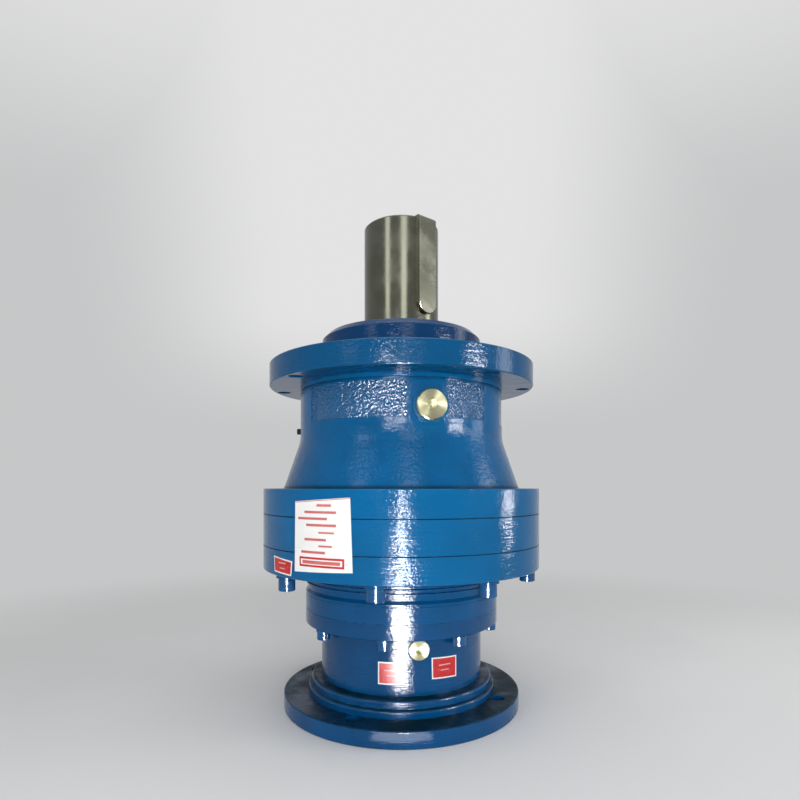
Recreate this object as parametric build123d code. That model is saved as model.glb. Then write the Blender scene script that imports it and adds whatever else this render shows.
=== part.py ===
from build123d import *
import math
import os

# Two-stage planetary gearbox, standing on its motor flange with the output shaft up.
# Millimetres, +Z up, origin in the middle of the motor face, front towards -Y.
# An azimuth is counted from the front towards +X, in degrees.

# Motor side
MOTOR_CIRCLE_D = 215.0
MOTOR_FLANGE_D = MOTOR_CIRCLE_D + 35.0
MOTOR_SPIGOT_D = MOTOR_CIRCLE_D - 35.0
MOTOR_FLANGE_T = 16.0
MOTOR_HOLES = 4
MOTOR_HOLE_D = 14.0
MOTOR_HOLE_AZ = 65.0
MOTOR_SPIGOT_DEPTH = 5.0
MOTOR_SHAFT_D = 28.0
MOTOR_SHAFT_L = 60.0
MOTOR_KEY_W = 8.0
MOTOR_KEY_DEPTH = 3.3

# Output side
OUT_CIRCLE_D = 260.0
OUT_FLANGE_D = OUT_CIRCLE_D + 20.0
OUT_FLANGE_T = 22.5
OUT_HOLES = 8
OUT_HOLE_D = 14.0
OUT_HOLE_AZ = 85.0
SPIGOT_WALL = 10.0
SPIGOT_H = 33.5
SPIGOT_BEVEL = 5.4
SHAFT_D = 80.0
SHAFT_L = 118.0
SHAFT_BEVEL = 2.0
CENTRE_HOLE_D = 17.0
CENTRE_HOLE_L = 42.0
KEY_W = 22.0
KEY_H = 14.0
KEY_SEAT = 9.0
KEY_L = 100.0
KEY_AZ = 38.0
KEY_END_BEVEL = 3.0

# Casing, from the motor face up
BEAD_H = 8.0
BEAD_ROUND = 3.4
ADAPTER_BODY_H = 56.0
SMALL_FLANGE_D = 204.6
SMALL_FLANGE_MARGIN = 7.5
ADAPTER_RIM_H = 15.0
RING_1_H = 16.0
HUB_H = 27.0
RIDGE_H = 2.0
HUB_COLLAR_H = 2.5
RIDGE_W = 2.0
LARGE_FLANGE_D = 292.0
LARGE_FLANGE_MARGIN = 12.0
MID_FLANGE_H = 24.5
RING_2_H = 31.5
HOUSING_FLANGE_H = 25.5
CONE_FOOT_MARGIN = 20.7
CONE_H = 56.5
CONE_BLEND = 6.4
NECK_MARGIN = 22.0
NECK_H = 49.5
PANELS = ((-55.0, 2.7), (22.7, 47.6), (66.0, 114.0), (132.0, 182.0), (202.0, 227.0), (246.0, 258.0))
PANEL_DEPTH = 0.7
PANEL_FOOT = 9.0
PANEL_HEAD = 1.0
NECK_GROOVE_H = 2.5
NECK_GROOVE_DEPTH = 3.0
NECK_COLLAR_H = 4.0
EDGE = 0.8

# Gearing
PRESSURE_ANGLE = math.radians(20)
TOOTH_SHIFT = 0.12
TIP_ROOM = 0.25
FLANK_PLAY = 0.25
PLANETS = 3
SUN_1_TEETH = 15
PLANET_1_TEETH = 18
GEAR_1_W = 24.0
SUN_2_TEETH = 15
PLANET_2_TEETH = 21
GEAR_2_W = 39.0
REGISTER_H = 5.0
REGISTER_GAP_1 = 2.31
REGISTER_GAP_2 = 3.4
REGISTER_WALL_1 = 8.0
REGISTER_WALL_2 = 6.48

# Fits and gaps
LOCATION = 0.05
RUNNING = 0.30
SEAL_GAP = 0.06
ROLLER_GAP = 0.15
SIDE_GAP = 0.4

# Carriers
CHEEK_1_LOW = 7.5
CHEEK_1_HIGH = 10.0
CHEEK_2_LOW = 12.0
CHEEK_2_HIGH = 18.0
CHEEK_ROOM = 2.5
SPLINE_HUB_H = 12.0
SPLINE_HUB_WALL = 7.0
THRUST_1_T = 1.5
THRUST_2_T = 1.5
NEEDLES = 12
BRIDGE_1_W = 22.0
BRIDGE_2_W = 34.0
SUN_BEVEL = 1.2
BUTTON_D = 20.0
BUTTON_STEM_D = 12.0
BUTTON_STEM_L = 8.0
BUTTON_GAP = 0.5
CARRIER_ROOM = 5.0

# Output shaft and its bearings
BEARING_HIGH = (100.0, 150.0, 32.0)
BEARING_LOW = (95.0, 145.0, 32.0)
BEARING_SPREAD = 46.0
TAPER_ANGLE = math.radians(14)
TAPER_ROLLERS = 18
COLLAR_D = 120.0
SEAL_HIGH = (120.0, 150.0, 12.0)
SEAL_HIGH_DROP = 3.5
NUT_H = 9.0
NUT_D = 122.0
TAB_WASHER_T = 1.6
CARRIER_SPLINE_TEETH = 28
RETAINER_T = 4.0
RETAINER_SCREWS = 3
RETAINER_SCREW_D = 8.0
CORE_WALL = 20.0

# Input shaft and its bearing
BALL_BEARING = (55.0, 100.0, 21.0)
BALL_D = 13.5
BALLS = 10
SEAL_LOW = (55.0, 80.0, 10.0)
SHOULDER_H = 2.0
SHOULDER_D = 63.0
STEM_D = 32.0
CLIP_T = 2.0
WEB_Z = 48.0
MOTOR_CAVITY_D = 130.0

# Screws and plugs
LARGE_SCREW = (10.0, 16.0, 10.0, 80.0, 8.0)
LARGE_WASHER = (10.3, 15.6, 2.5)
SMALL_SCREW = (8.0, 13.0, 8.0, 50.0, 6.0)
SMALL_WASHER = (8.4, 14.6, 2.0)
SCREWS = 8
SCREW_AZ = -9.4
SCREW_PAD_D = 20.0
SCREW_PAD_H = 3.0
SCREW_HOLE_ROOM = 1.2
FILLER_AZ = 14.0
FILLER_Z = 303.4
FILLER_THREAD_D = 21.0
FILLER_COLLAR_D = 28.4
FILLER_COLLAR_H = 5.0
FILLER_STEM_L = 14.0
FILLER_SOCKET = 8.0
FILLER_BOSS_D = 34.0
FILLER_BOSS_H = 1.5
SEALING_RING_T = 1.5
LEVEL_AZ = 11.3
LEVEL_Z = 75.3
LEVEL_D = 19.6
SIDE_PLUG_AZ = -90.0
SIDE_PLUG_Z = 289.0
SIDE_PLUG_D = 9.5
SIDE_STEM_D = 6.4
SPOT_DEPTH = 0.9
RING_SECTION_D = 2.0

# Casing widths that follow from the screw circles
LARGE_CIRCLE_D = LARGE_FLANGE_D - 2 * LARGE_FLANGE_MARGIN
SMALL_CIRCLE_D = SMALL_FLANGE_D - 2 * SMALL_FLANGE_MARGIN
HUB_D = SMALL_FLANGE_D - 2 * RIDGE_H
ADAPTER_BODY_D = SMALL_CIRCLE_D - SMALL_WASHER[1] - 4.0
UPPER_BEAD_D = ADAPTER_BODY_D + 21.0
LOWER_BEAD_D = UPPER_BEAD_D + 7.0
CONE_FOOT_D = LARGE_FLANGE_D - 2 * CONE_FOOT_MARGIN
NECK_D = OUT_CIRCLE_D - 2 * NECK_MARGIN
CORE_D = NECK_D - 2 * CORE_WALL
SPIGOT_D = BEARING_HIGH[1] + 2 * SPIGOT_WALL

# Heights of the faces where the casing pieces meet
Z_BODY = MOTOR_FLANGE_T + 2 * BEAD_H
Z_ADAPTER_RIM = Z_BODY + ADAPTER_BODY_H
Z_JOINT_1 = Z_ADAPTER_RIM + ADAPTER_RIM_H
Z_JOINT_2 = Z_JOINT_1 + RING_1_H
Z_MID_FLANGE = Z_JOINT_2 + HUB_H
Z_JOINT_3 = Z_MID_FLANGE + MID_FLANGE_H
Z_JOINT_4 = Z_JOINT_3 + RING_2_H
Z_CONE = Z_JOINT_4 + HOUSING_FLANGE_H
Z_NECK = Z_CONE + CONE_H
Z_OUT_FLANGE = Z_NECK + NECK_H
Z_SPIGOT = Z_OUT_FLANGE + OUT_FLANGE_T
Z_TOP = Z_SPIGOT + SPIGOT_H
Z_END = Z_TOP + SHAFT_L

# Gear trains: the ring gears fill their registers, and the rest follows from their module
RING_1_TEETH = SUN_1_TEETH + 2 * PLANET_1_TEETH
RING_2_TEETH = SUN_2_TEETH + 2 * PLANET_2_TEETH
REGISTER_1_R = (SMALL_CIRCLE_D - SMALL_SCREW[0] - SCREW_HOLE_ROOM) / 2 - REGISTER_GAP_1
REGISTER_2_R = (LARGE_CIRCLE_D - LARGE_SCREW[0] - SCREW_HOLE_ROOM) / 2 - REGISTER_GAP_2
RING_DEPTH = 1 + TIP_ROOM - TOOTH_SHIFT
MODULE_1 = (REGISTER_1_R - REGISTER_WALL_1) / (RING_1_TEETH / 2 + RING_DEPTH)
MODULE_2 = (REGISTER_2_R - REGISTER_WALL_2) / (RING_2_TEETH / 2 + RING_DEPTH)
CENTRES_1 = MODULE_1 * (SUN_1_TEETH + PLANET_1_TEETH) / 2
CENTRES_2 = MODULE_2 * (SUN_2_TEETH + PLANET_2_TEETH) / 2
Z_GEAR_1 = (Z_JOINT_1 + Z_JOINT_2 - GEAR_1_W) / 2
Z_GEAR_2 = (Z_JOINT_3 + Z_JOINT_4 - GEAR_2_W) / 2
NEEDLE_1_D = MODULE_1 * 4 / 3
NEEDLE_2_D = MODULE_2 * 3 / 2
PIN_1_D = MODULE_1 * 20 / 3
PIN_2_D = MODULE_2 * 9
CHEEK_1_D = MODULE_1 * (RING_1_TEETH - 2 - 2 * TOOTH_SHIFT) - 2 * CHEEK_ROOM
CHEEK_2_D = MODULE_2 * (RING_2_TEETH - 2 - 2 * TOOTH_SHIFT) - 2 * CHEEK_ROOM
BORE_1_R = CHEEK_1_D / 2 + CARRIER_ROOM
BORE_2_R = CHEEK_2_D / 2 + CARRIER_ROOM
SPLINE_HUB_D = MODULE_2 * (SUN_2_TEETH + 2 + 2 * TOOTH_SHIFT) + 2 * SPLINE_HUB_WALL
CARRIER_SPLINE_MODULE = MODULE_2 * 3 / 4
RETAINER_D = MODULE_2 * 24.5

# Carrier faces
Z_CHEEK_1_TOP = Z_GEAR_1 - THRUST_1_T - SIDE_GAP
Z_CHEEK_1_ROOF = Z_GEAR_1 + GEAR_1_W + THRUST_1_T + SIDE_GAP
Z_CARRIER_1 = Z_CHEEK_1_ROOF + CHEEK_1_HIGH
Z_SPLINE_HUB = Z_CARRIER_1 + SPLINE_HUB_H
Z_CHEEK_2_TOP = Z_GEAR_2 - THRUST_2_T - SIDE_GAP
Z_CHEEK_2_ROOF = Z_GEAR_2 + GEAR_2_W + THRUST_2_T + SIDE_GAP
Z_CARRIER_2 = Z_CHEEK_2_ROOF + CHEEK_2_HIGH
Z_SUN_2 = Z_CARRIER_1
Z_SHAFT_FOOT = Z_CHEEK_2_ROOF + RETAINER_T

# Bearing seats
Z_BEARING_HIGH = Z_OUT_FLANGE - 15.0
Z_BEARING_LOW = Z_BEARING_HIGH - BEARING_SPREAD - BEARING_LOW[2]
Z_NUT = Z_BEARING_LOW - TAB_WASHER_T - NUT_H
Z_SEAL_HIGH = Z_TOP - SEAL_HIGH_DROP - SEAL_HIGH[2]
Z_SEAL_LOW = WEB_Z + 2.0
Z_BALL_BEARING = Z_SEAL_LOW + SEAL_LOW[2] + SHOULDER_H
Z_INPUT_CLIP = Z_BALL_BEARING + BALL_BEARING[2]
Z_WEB_TOP = Z_INPUT_CLIP + CLIP_T + 1.0
Z_INPUT_FOOT = MOTOR_SPIGOT_DEPTH + 1.0


def rz(radius, height):
    """Point of a turning profile."""
    return (radius, 0, height)


def lathe(*curves):
    """Solid turned about the axis from the closed outline that the curves make."""
    return revolve(make_face(curves), Axis.Z)


def turned(*corners):
    """Solid turned from straight runs between (radius, height) corners, less any repeated corner."""
    distinct = [rz(*c) for k, c in enumerate(corners) if c != corners[k - 1]]
    return lathe(Polyline(*distinct, close=True))


def drum(radius, low, high, bevel=0.0):
    """Upright cylinder between two heights, with its rims bevelled where asked."""
    return turned(
        (0, low), (radius - bevel, low), (radius, low + bevel),
        (radius, high - bevel), (radius - bevel, high), (0, high),
    )


def group(shapes):
    """Several separate solids as one sub-part."""
    return Compound([solid for shape in shapes for solid in shape.solids()])


def band(outer, inner, low, high, bevel=0.0):
    """Upright ring with its outer rims bevelled."""
    return turned(
        (inner, low), (outer - bevel, low), (outer, low + bevel),
        (outer, high - bevel), (outer - bevel, high), (inner, high),
    )


def at(azimuth, radius, height=0.0):
    """Place at an azimuth and radius, with local -Y pointing outwards."""
    return Rot(0, 0, azimuth) * Pos(0, -radius, height)


def facing_out(azimuth, radius, height):
    """Place whose local +Z points outwards from the axis."""
    return at(azimuth, radius, height) * Rot(90, 0, 0)


def ring_of(shape, count, first_az, radius):
    """Copies of a shape on a bolt circle."""
    return [at(first_az + 360 * k / count, radius) * shape for k in range(count)]


def rims(part, places):
    """Circular edges about the axis at (radius, height) places."""
    circles = part.edges().filter_by(GeomType.CIRCLE)
    return [
        e for e in circles
        if any(abs(e.radius - r) < 0.01 and abs(e.arc_center.Z - z) < 0.01 for r, z in places)
    ]


# Teeth

def polar(radius, angle):
    return (radius * math.cos(angle), radius * math.sin(angle))


def involute(angle):
    return math.tan(angle) - angle


def tooth_outline(teeth, module, shift, root_r, tip_r, play, turn):
    """Closed outline of involute teeth, one of them centred on the angle turn."""
    pitch_r = teeth * module / 2
    base_r = pitch_r * math.cos(PRESSURE_ANGLE)
    flank_r = max(base_r, root_r)
    middle_r = flank_r + 0.42 * (tip_r - flank_r)
    at_pitch = (math.pi / 2 + 2 * shift * math.tan(PRESSURE_ANGLE)) / teeth - play / pitch_r

    def half(radius):
        return at_pitch + involute(PRESSURE_ANGLE) - involute(math.acos(min(1.0, base_r / radius)))

    edges = []
    step = 2 * math.pi / teeth
    for k in range(teeth):
        mid = turn + k * step
        foot = half(flank_r)
        if flank_r > root_r:
            edges.append(Line(polar(root_r, mid - foot), polar(flank_r, mid - foot)))
            edges.append(Line(polar(flank_r, mid + foot), polar(root_r, mid + foot)))
        edges.append(ThreePointArc(
            polar(flank_r, mid - foot), polar(middle_r, mid - half(middle_r)), polar(tip_r, mid - half(tip_r))))
        edges.append(ThreePointArc(
            polar(tip_r, mid - half(tip_r)), polar(tip_r, mid), polar(tip_r, mid + half(tip_r))))
        edges.append(ThreePointArc(
            polar(tip_r, mid + half(tip_r)), polar(middle_r, mid + half(middle_r)), polar(flank_r, mid + foot)))
        edges.append(ThreePointArc(
            polar(root_r, mid + foot), polar(root_r, mid + step / 2), polar(root_r, mid + step - foot)))
    return make_face(edges)


def toothed_bar(teeth, module, shift, low, high, turn=0.0, play=FLANK_PLAY / 2, room=0.0):
    """Solid gear blank with outer teeth, or with room the space that takes such a gear."""
    pitch_r = teeth * module / 2
    root_r = pitch_r - module * (1 + TIP_ROOM - shift) + room
    tip_r = pitch_r + module * (1 + shift) + room
    return Pos(0, 0, low) * extrude(tooth_outline(teeth, module, shift, root_r, tip_r, play, turn), high - low)


def ring_space(ring_teeth, planet_teeth, module, centres, low, high):
    """Space inside a ring gear's teeth, in mesh with a planet on the +X axis."""
    pitch_r = ring_teeth * module / 2
    base_r = pitch_r * math.cos(PRESSURE_ANGLE)
    free_r = math.hypot(base_r, centres * math.sin(PRESSURE_ANGLE)) + 0.05 * module
    inner_r = max(pitch_r - module * (1 + TOOTH_SHIFT), free_r)
    outer_r = pitch_r + module * (1 + TIP_ROOM - TOOTH_SHIFT)
    turn = math.pi / ring_teeth * (planet_teeth - 1)
    outline = tooth_outline(ring_teeth, module, -TOOTH_SHIFT, inner_r, outer_r, -FLANK_PLAY / 2, turn)
    return Pos(0, 0, low) * extrude(outline, high - low)


def planet_turn(angle, sun_teeth, planet_teeth):
    """Angle of a planet's tooth that meshes with a sun whose tooth lies on +X."""
    phase = 0.5 - angle * sun_teeth / (2 * math.pi)
    return angle + math.pi - phase * 2 * math.pi / planet_teeth


def planet_angle(k):
    return 2 * math.pi * k / PLANETS


# Casing

def small_screw_holes(low, high, diameter):
    return ring_of(drum(diameter / 2, low, high), SCREWS, SCREW_AZ, SMALL_CIRCLE_D / 2)


def large_screw_holes(low, high, diameter):
    return ring_of(drum(diameter / 2, low, high), SCREWS, SCREW_AZ, LARGE_CIRCLE_D / 2)


def input_adapter():
    flange_r = MOTOR_FLANGE_D / 2
    lower_r = LOWER_BEAD_D / 2
    upper_r = UPPER_BEAD_D / 2
    body_r = ADAPTER_BODY_D / 2
    rim_r = SMALL_FLANGE_D / 2
    z_bead = MOTOR_FLANGE_T + BEAD_H
    register_r = REGISTER_1_R + LOCATION
    body = turned(
        (MOTOR_SPIGOT_D / 2, 0), (flange_r - EDGE, 0), (flange_r, EDGE),
        (flange_r, MOTOR_FLANGE_T - EDGE), (flange_r - EDGE, MOTOR_FLANGE_T),
        (lower_r, MOTOR_FLANGE_T), (lower_r, z_bead), (upper_r, z_bead), (upper_r, Z_BODY),
        (body_r, Z_BODY), (body_r, Z_ADAPTER_RIM), (rim_r - EDGE, Z_ADAPTER_RIM),
        (rim_r, Z_ADAPTER_RIM + EDGE), (rim_r, Z_JOINT_1),
        (register_r, Z_JOINT_1), (register_r, Z_JOINT_1 - REGISTER_H), (BORE_1_R, Z_JOINT_1 - REGISTER_H),
        (BORE_1_R, Z_WEB_TOP), (BALL_BEARING[1] / 2, Z_WEB_TOP), (BALL_BEARING[1] / 2, Z_BALL_BEARING),
        (SEAL_LOW[1] / 2, Z_BALL_BEARING), (SEAL_LOW[1] / 2, Z_SEAL_LOW), (SEAL_LOW[1] / 2 - 3, Z_SEAL_LOW),
        (SEAL_LOW[1] / 2 - 3, WEB_Z), (MOTOR_CAVITY_D / 2, WEB_Z),
        (MOTOR_CAVITY_D / 2, MOTOR_SPIGOT_DEPTH), (MOTOR_SPIGOT_D / 2, MOTOR_SPIGOT_DEPTH),
    )
    body = fillet(rims(body, [(lower_r, z_bead), (upper_r, Z_BODY)]), BEAD_ROUND)
    motor_holes = ring_of(
        drum(MOTOR_HOLE_D / 2, -1, Z_BODY + 1), MOTOR_HOLES, MOTOR_HOLE_AZ, MOTOR_CIRCLE_D / 2)
    clip_groove = band(BALL_BEARING[1] / 2 + 1.5, BALL_BEARING[1] / 2 - 1, Z_INPUT_CLIP, Z_INPUT_CLIP + CLIP_T)
    plug_seat = facing_out(LEVEL_AZ, body_r - 14, LEVEL_Z) * drum(LEVEL_D / 2 - 3, 0, 20)
    spot_face = facing_out(LEVEL_AZ, body_r - SPOT_DEPTH, LEVEL_Z) * drum(LEVEL_D / 2 + 1, 0, 8)
    screws = small_screw_holes(Z_ADAPTER_RIM - 1, Z_JOINT_1 + 1, SMALL_SCREW[0] + SCREW_HOLE_ROOM)
    return body - motor_holes - screws - clip_groove - plug_seat - spot_face


def ring_gear_1():
    outer_r = SMALL_FLANGE_D / 2
    low = Z_GEAR_1
    high = Z_GEAR_1 + GEAR_1_W
    body = turned(
        (CENTRES_1, low), (REGISTER_1_R, low), (REGISTER_1_R, Z_JOINT_1), (outer_r - 0.4, Z_JOINT_1),
        (outer_r, Z_JOINT_1 + 0.4), (outer_r, Z_JOINT_2 - 0.4), (outer_r - 0.4, Z_JOINT_2),
        (REGISTER_1_R, Z_JOINT_2), (REGISTER_1_R, high), (CENTRES_1, high),
    )
    grooves = [ring_groove(REGISTER_1_R, z) for z in ring_heights(Z_JOINT_1, Z_JOINT_2)]
    space = ring_space(RING_1_TEETH, PLANET_1_TEETH, MODULE_1, CENTRES_1, low - 1, high + 1)
    screws = small_screw_holes(low - 1, high + 1, SMALL_SCREW[0] + SCREW_HOLE_ROOM)
    return body - grooves - screws - space


def ring_gear_2():
    outer_r = LARGE_FLANGE_D / 2
    low = Z_JOINT_3 - REGISTER_H
    high = Z_JOINT_4 + REGISTER_H
    body = turned(
        (CENTRES_2, low), (REGISTER_2_R, low), (REGISTER_2_R, Z_JOINT_3), (outer_r - 0.4, Z_JOINT_3),
        (outer_r, Z_JOINT_3 + 0.4), (outer_r, Z_JOINT_4 - 0.4), (outer_r - 0.4, Z_JOINT_4),
        (REGISTER_2_R, Z_JOINT_4), (REGISTER_2_R, high), (CENTRES_2, high),
    )
    grooves = [ring_groove(REGISTER_2_R, z) for z in ring_heights(Z_JOINT_3, Z_JOINT_4)]
    space = ring_space(RING_2_TEETH, PLANET_2_TEETH, MODULE_2, CENTRES_2, low - 1, high + 1)
    screws = large_screw_holes(low - 1, high + 1, LARGE_SCREW[0] + SCREW_HOLE_ROOM)
    return body - grooves - screws - space


def ring_heights(low_joint, high_joint):
    """Middle heights of the seal grooves in the two register rims of a ring gear."""
    return (low_joint - REGISTER_H / 2, high_joint + REGISTER_H / 2)


def ring_groove(register_r, height):
    """Groove for a sealing ring in a register rim."""
    half = RING_SECTION_D / 2 + 0.3
    return band(register_r + 1, register_r - RING_SECTION_D, height - half, height + half)


def seal_rings(register_r, low_joint, high_joint):
    """Pair of round-section sealing rings in the register rims of a ring gear."""
    section = RING_SECTION_D / 2
    return [Pos(0, 0, z) * Torus(register_r - section, section) for z in ring_heights(low_joint, high_joint)]


def intermediate_housing():
    collar_r = SMALL_FLANGE_D / 2
    hub_r = HUB_D / 2
    flange_r = LARGE_FLANGE_D / 2
    register_1_r = REGISTER_1_R + LOCATION
    register_2_r = REGISTER_2_R + LOCATION
    z_cone = Z_JOINT_2 + HUB_COLLAR_H
    web_r = SPLINE_HUB_D / 2 + 3.0
    z_pocket_1 = Z_CARRIER_1 + 2.0
    z_pocket_2 = Z_CHEEK_2_TOP - CHEEK_2_LOW - 2.0
    ridge_1 = Z_JOINT_2 + 10.5
    ridge_2 = ridge_1 + 2 * RIDGE_W
    body = turned(
        (register_1_r, Z_JOINT_2), (collar_r, Z_JOINT_2), (collar_r, z_cone), (hub_r, z_cone + 3),
        (hub_r, ridge_1), (collar_r, ridge_1 + 0.4), (collar_r, ridge_1 + RIDGE_W - 0.4), (hub_r, ridge_1 + RIDGE_W),
        (hub_r, ridge_2), (collar_r, ridge_2 + 0.4), (collar_r, ridge_2 + RIDGE_W - 0.4), (hub_r, ridge_2 + RIDGE_W),
        (hub_r, Z_MID_FLANGE - 3), (hub_r + 3, Z_MID_FLANGE), (flange_r - EDGE, Z_MID_FLANGE),
        (flange_r, Z_MID_FLANGE + EDGE), (flange_r, Z_JOINT_3 - 0.4), (flange_r - 0.4, Z_JOINT_3),
        (register_2_r, Z_JOINT_3), (register_2_r, Z_JOINT_3 - REGISTER_H), (BORE_2_R, Z_JOINT_3 - REGISTER_H),
        (BORE_2_R, z_pocket_2), (web_r, z_pocket_2), (web_r, z_pocket_1), (BORE_1_R, z_pocket_1),
        (BORE_1_R, Z_JOINT_2 + REGISTER_H), (register_1_r, Z_JOINT_2 + REGISTER_H),
    )
    pad = drum(SCREW_PAD_D / 2, Z_MID_FLANGE - SCREW_PAD_H, Z_MID_FLANGE + 1)
    pads = ring_of(pad, SCREWS, SCREW_AZ, LARGE_CIRCLE_D / 2)
    large = large_screw_holes(
        Z_MID_FLANGE - SCREW_PAD_H - 1, Z_JOINT_3 + 1, LARGE_SCREW[0] + SCREW_HOLE_ROOM)
    small = small_screw_holes(Z_JOINT_2 - 1, small_screw_tip() + 2, SMALL_SCREW[0])
    return body + pads - large - small


def output_housing():
    flange_r = LARGE_FLANGE_D / 2
    foot_r = CONE_FOOT_D / 2
    neck_r = NECK_D / 2
    out_r = OUT_FLANGE_D / 2
    spigot_r = SPIGOT_D / 2
    register_r = REGISTER_2_R + LOCATION
    slope = math.atan2(foot_r - neck_r, CONE_H - CONE_BLEND)
    blend_end = rz(neck_r + CONE_BLEND * math.sin(slope), Z_NECK - CONE_BLEND * (1 + math.cos(slope)))
    z_groove = groove_foot()
    groove_r = neck_r - NECK_GROOVE_DEPTH
    seat_low = BEARING_LOW[1] / 2
    seat_high = BEARING_HIGH[1] / 2
    z_low_top = Z_BEARING_LOW + BEARING_LOW[2]
    z_web = Z_CARRIER_2 + 2.0
    shoulder_r = (BEARING_LOW[0] + BEARING_LOW[1]) / 4 + 6.0
    body = lathe(
        Polyline(
            rz(neck_r, Z_NECK), rz(neck_r, z_groove), rz(groove_r, z_groove),
            rz(groove_r, z_groove + NECK_GROOVE_H), rz(neck_r, z_groove + NECK_GROOVE_H), rz(neck_r, Z_OUT_FLANGE),
            rz(out_r - EDGE, Z_OUT_FLANGE), rz(out_r, Z_OUT_FLANGE + EDGE), rz(out_r, Z_SPIGOT - EDGE),
            rz(out_r - EDGE, Z_SPIGOT), rz(spigot_r, Z_SPIGOT), rz(spigot_r, Z_TOP - SPIGOT_BEVEL),
            rz(spigot_r - SPIGOT_BEVEL, Z_TOP), rz(seat_high, Z_TOP), rz(seat_high, Z_BEARING_HIGH),
            rz(shoulder_r, Z_BEARING_HIGH), rz(shoulder_r, Z_BEARING_HIGH - 6), rz(CORE_D / 2, Z_BEARING_HIGH - 12),
            rz(CORE_D / 2, z_low_top + 12), rz(shoulder_r, z_low_top + 6), rz(shoulder_r, z_low_top),
            rz(seat_low, z_low_top), rz(seat_low, z_web), rz(BORE_2_R, z_web),
            rz(BORE_2_R, Z_JOINT_4 + REGISTER_H), rz(register_r, Z_JOINT_4 + REGISTER_H),
            rz(register_r, Z_JOINT_4), rz(flange_r - 0.4, Z_JOINT_4), rz(flange_r, Z_JOINT_4 + 0.4),
            rz(flange_r, Z_CONE - EDGE), rz(flange_r - EDGE, Z_CONE), rz(foot_r, Z_CONE), blend_end,
        ),
        TangentArc(rz(neck_r, Z_NECK), blend_end, tangent=(0, 0, -1)),
    )
    boss = facing_out(FILLER_AZ, neck_r - 8, FILLER_Z) * drum(FILLER_BOSS_D / 2, 0, 8 + FILLER_BOSS_H)
    body = body - neck_panels() + boss
    filler_hole = facing_out(FILLER_AZ, CORE_D / 2 - 6, FILLER_Z) * drum(FILLER_THREAD_D / 2, 0, 40)
    side_hole = facing_out(SIDE_PLUG_AZ, neck_r - 14, SIDE_PLUG_Z) * drum(SIDE_STEM_D / 2, 0, 30)
    side_face = facing_out(SIDE_PLUG_AZ, neck_r - SPOT_DEPTH, SIDE_PLUG_Z) * drum(SIDE_PLUG_D / 2 + 1.5, 0, 20)
    flange_holes = ring_of(
        drum(OUT_HOLE_D / 2, Z_OUT_FLANGE - 1, Z_SPIGOT + 1), OUT_HOLES, OUT_HOLE_AZ, OUT_CIRCLE_D / 2)
    screws = large_screw_holes(Z_JOINT_4 - 1, large_screw_tip() + 2, LARGE_SCREW[0])
    return body - filler_hole - side_hole - side_face - flange_holes - screws


def groove_foot():
    return Z_OUT_FLANGE - NECK_COLLAR_H - NECK_GROOVE_H


def neck_panels():
    """Shallow cast panels round the neck, between its plain strips."""
    low = Z_NECK + PANEL_FOOT
    high = groove_foot() - PANEL_HEAD
    lip = 3 * PANEL_DEPTH
    panels = []
    for start, end in PANELS:
        face = make_face(Polyline(
            rz(NECK_D / 2 - PANEL_DEPTH, low), rz(NECK_D / 2 + lip, low - lip), rz(NECK_D / 2 + lip, high + PANEL_HEAD / 2),
            rz(NECK_D / 2 - PANEL_DEPTH, high), close=True))
        panels.append(Rot(0, 0, start - 90) * revolve(face, Axis.Z, end - start))
    return panels


# Screws, washers and plugs

def large_screw_tip():
    return Z_MID_FLANGE - SCREW_PAD_H - LARGE_WASHER[2] + LARGE_SCREW[3]


def small_screw_tip():
    return Z_ADAPTER_RIM - SMALL_WASHER[2] + SMALL_SCREW[3]


def cap_screw(size, head_z):
    """Socket head cap screw pointing up, with the underside of its head at head_z."""
    thread_d, head_d, head_h, length, socket = size
    low = head_z - head_h
    head = turned(
        (0, low), (head_d / 2 - 0.6, low), (head_d / 2, low + 0.6), (head_d / 2, head_z),
        (thread_d / 2, head_z), (thread_d / 2, head_z + length - 1), (thread_d / 2 - 1, head_z + length),
        (0, head_z + length),
    )
    hexagon = extrude(RegularPolygon(socket / 2, 6, major_radius=False), head_h * 0.55)
    return head - Pos(0, 0, low) * hexagon


def spring_washer(size, low):
    bore_d, outer_d, thickness = size
    ring = band(outer_d / 2, bore_d / 2, low, low + thickness)
    slit = Pos(outer_d / 2 - 2, 0, low + thickness / 2) * Rot(20, 0, 0) * Box(8, 1.2, 4 * thickness)
    return ring - slit


def filler_plug():
    """Collar plug with a socket, built along +Z with the collar's seat at zero."""
    body = turned(
        (0, -FILLER_STEM_L), (FILLER_THREAD_D / 2 - 1.2, -FILLER_STEM_L),
        (FILLER_THREAD_D / 2, 1.2 - FILLER_STEM_L), (FILLER_THREAD_D / 2, 0), (FILLER_COLLAR_D / 2, 0),
        (FILLER_COLLAR_D / 2, FILLER_COLLAR_H - 1), (FILLER_COLLAR_D / 2 - 1, FILLER_COLLAR_H), (0, FILLER_COLLAR_H),
    )
    socket = extrude(RegularPolygon(FILLER_SOCKET / 2, 6, major_radius=False), 8)
    seat = facing_out(FILLER_AZ, NECK_D / 2 + FILLER_BOSS_H + SEALING_RING_T, FILLER_Z)
    return seat * (body - Pos(0, 0, FILLER_COLLAR_H - 7) * socket)


def sealing_ring():
    ring = band(FILLER_COLLAR_D / 2 - 1.2, FILLER_THREAD_D / 2, 0, SEALING_RING_T)
    return facing_out(FILLER_AZ, NECK_D / 2 + FILLER_BOSS_H, FILLER_Z) * ring


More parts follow.
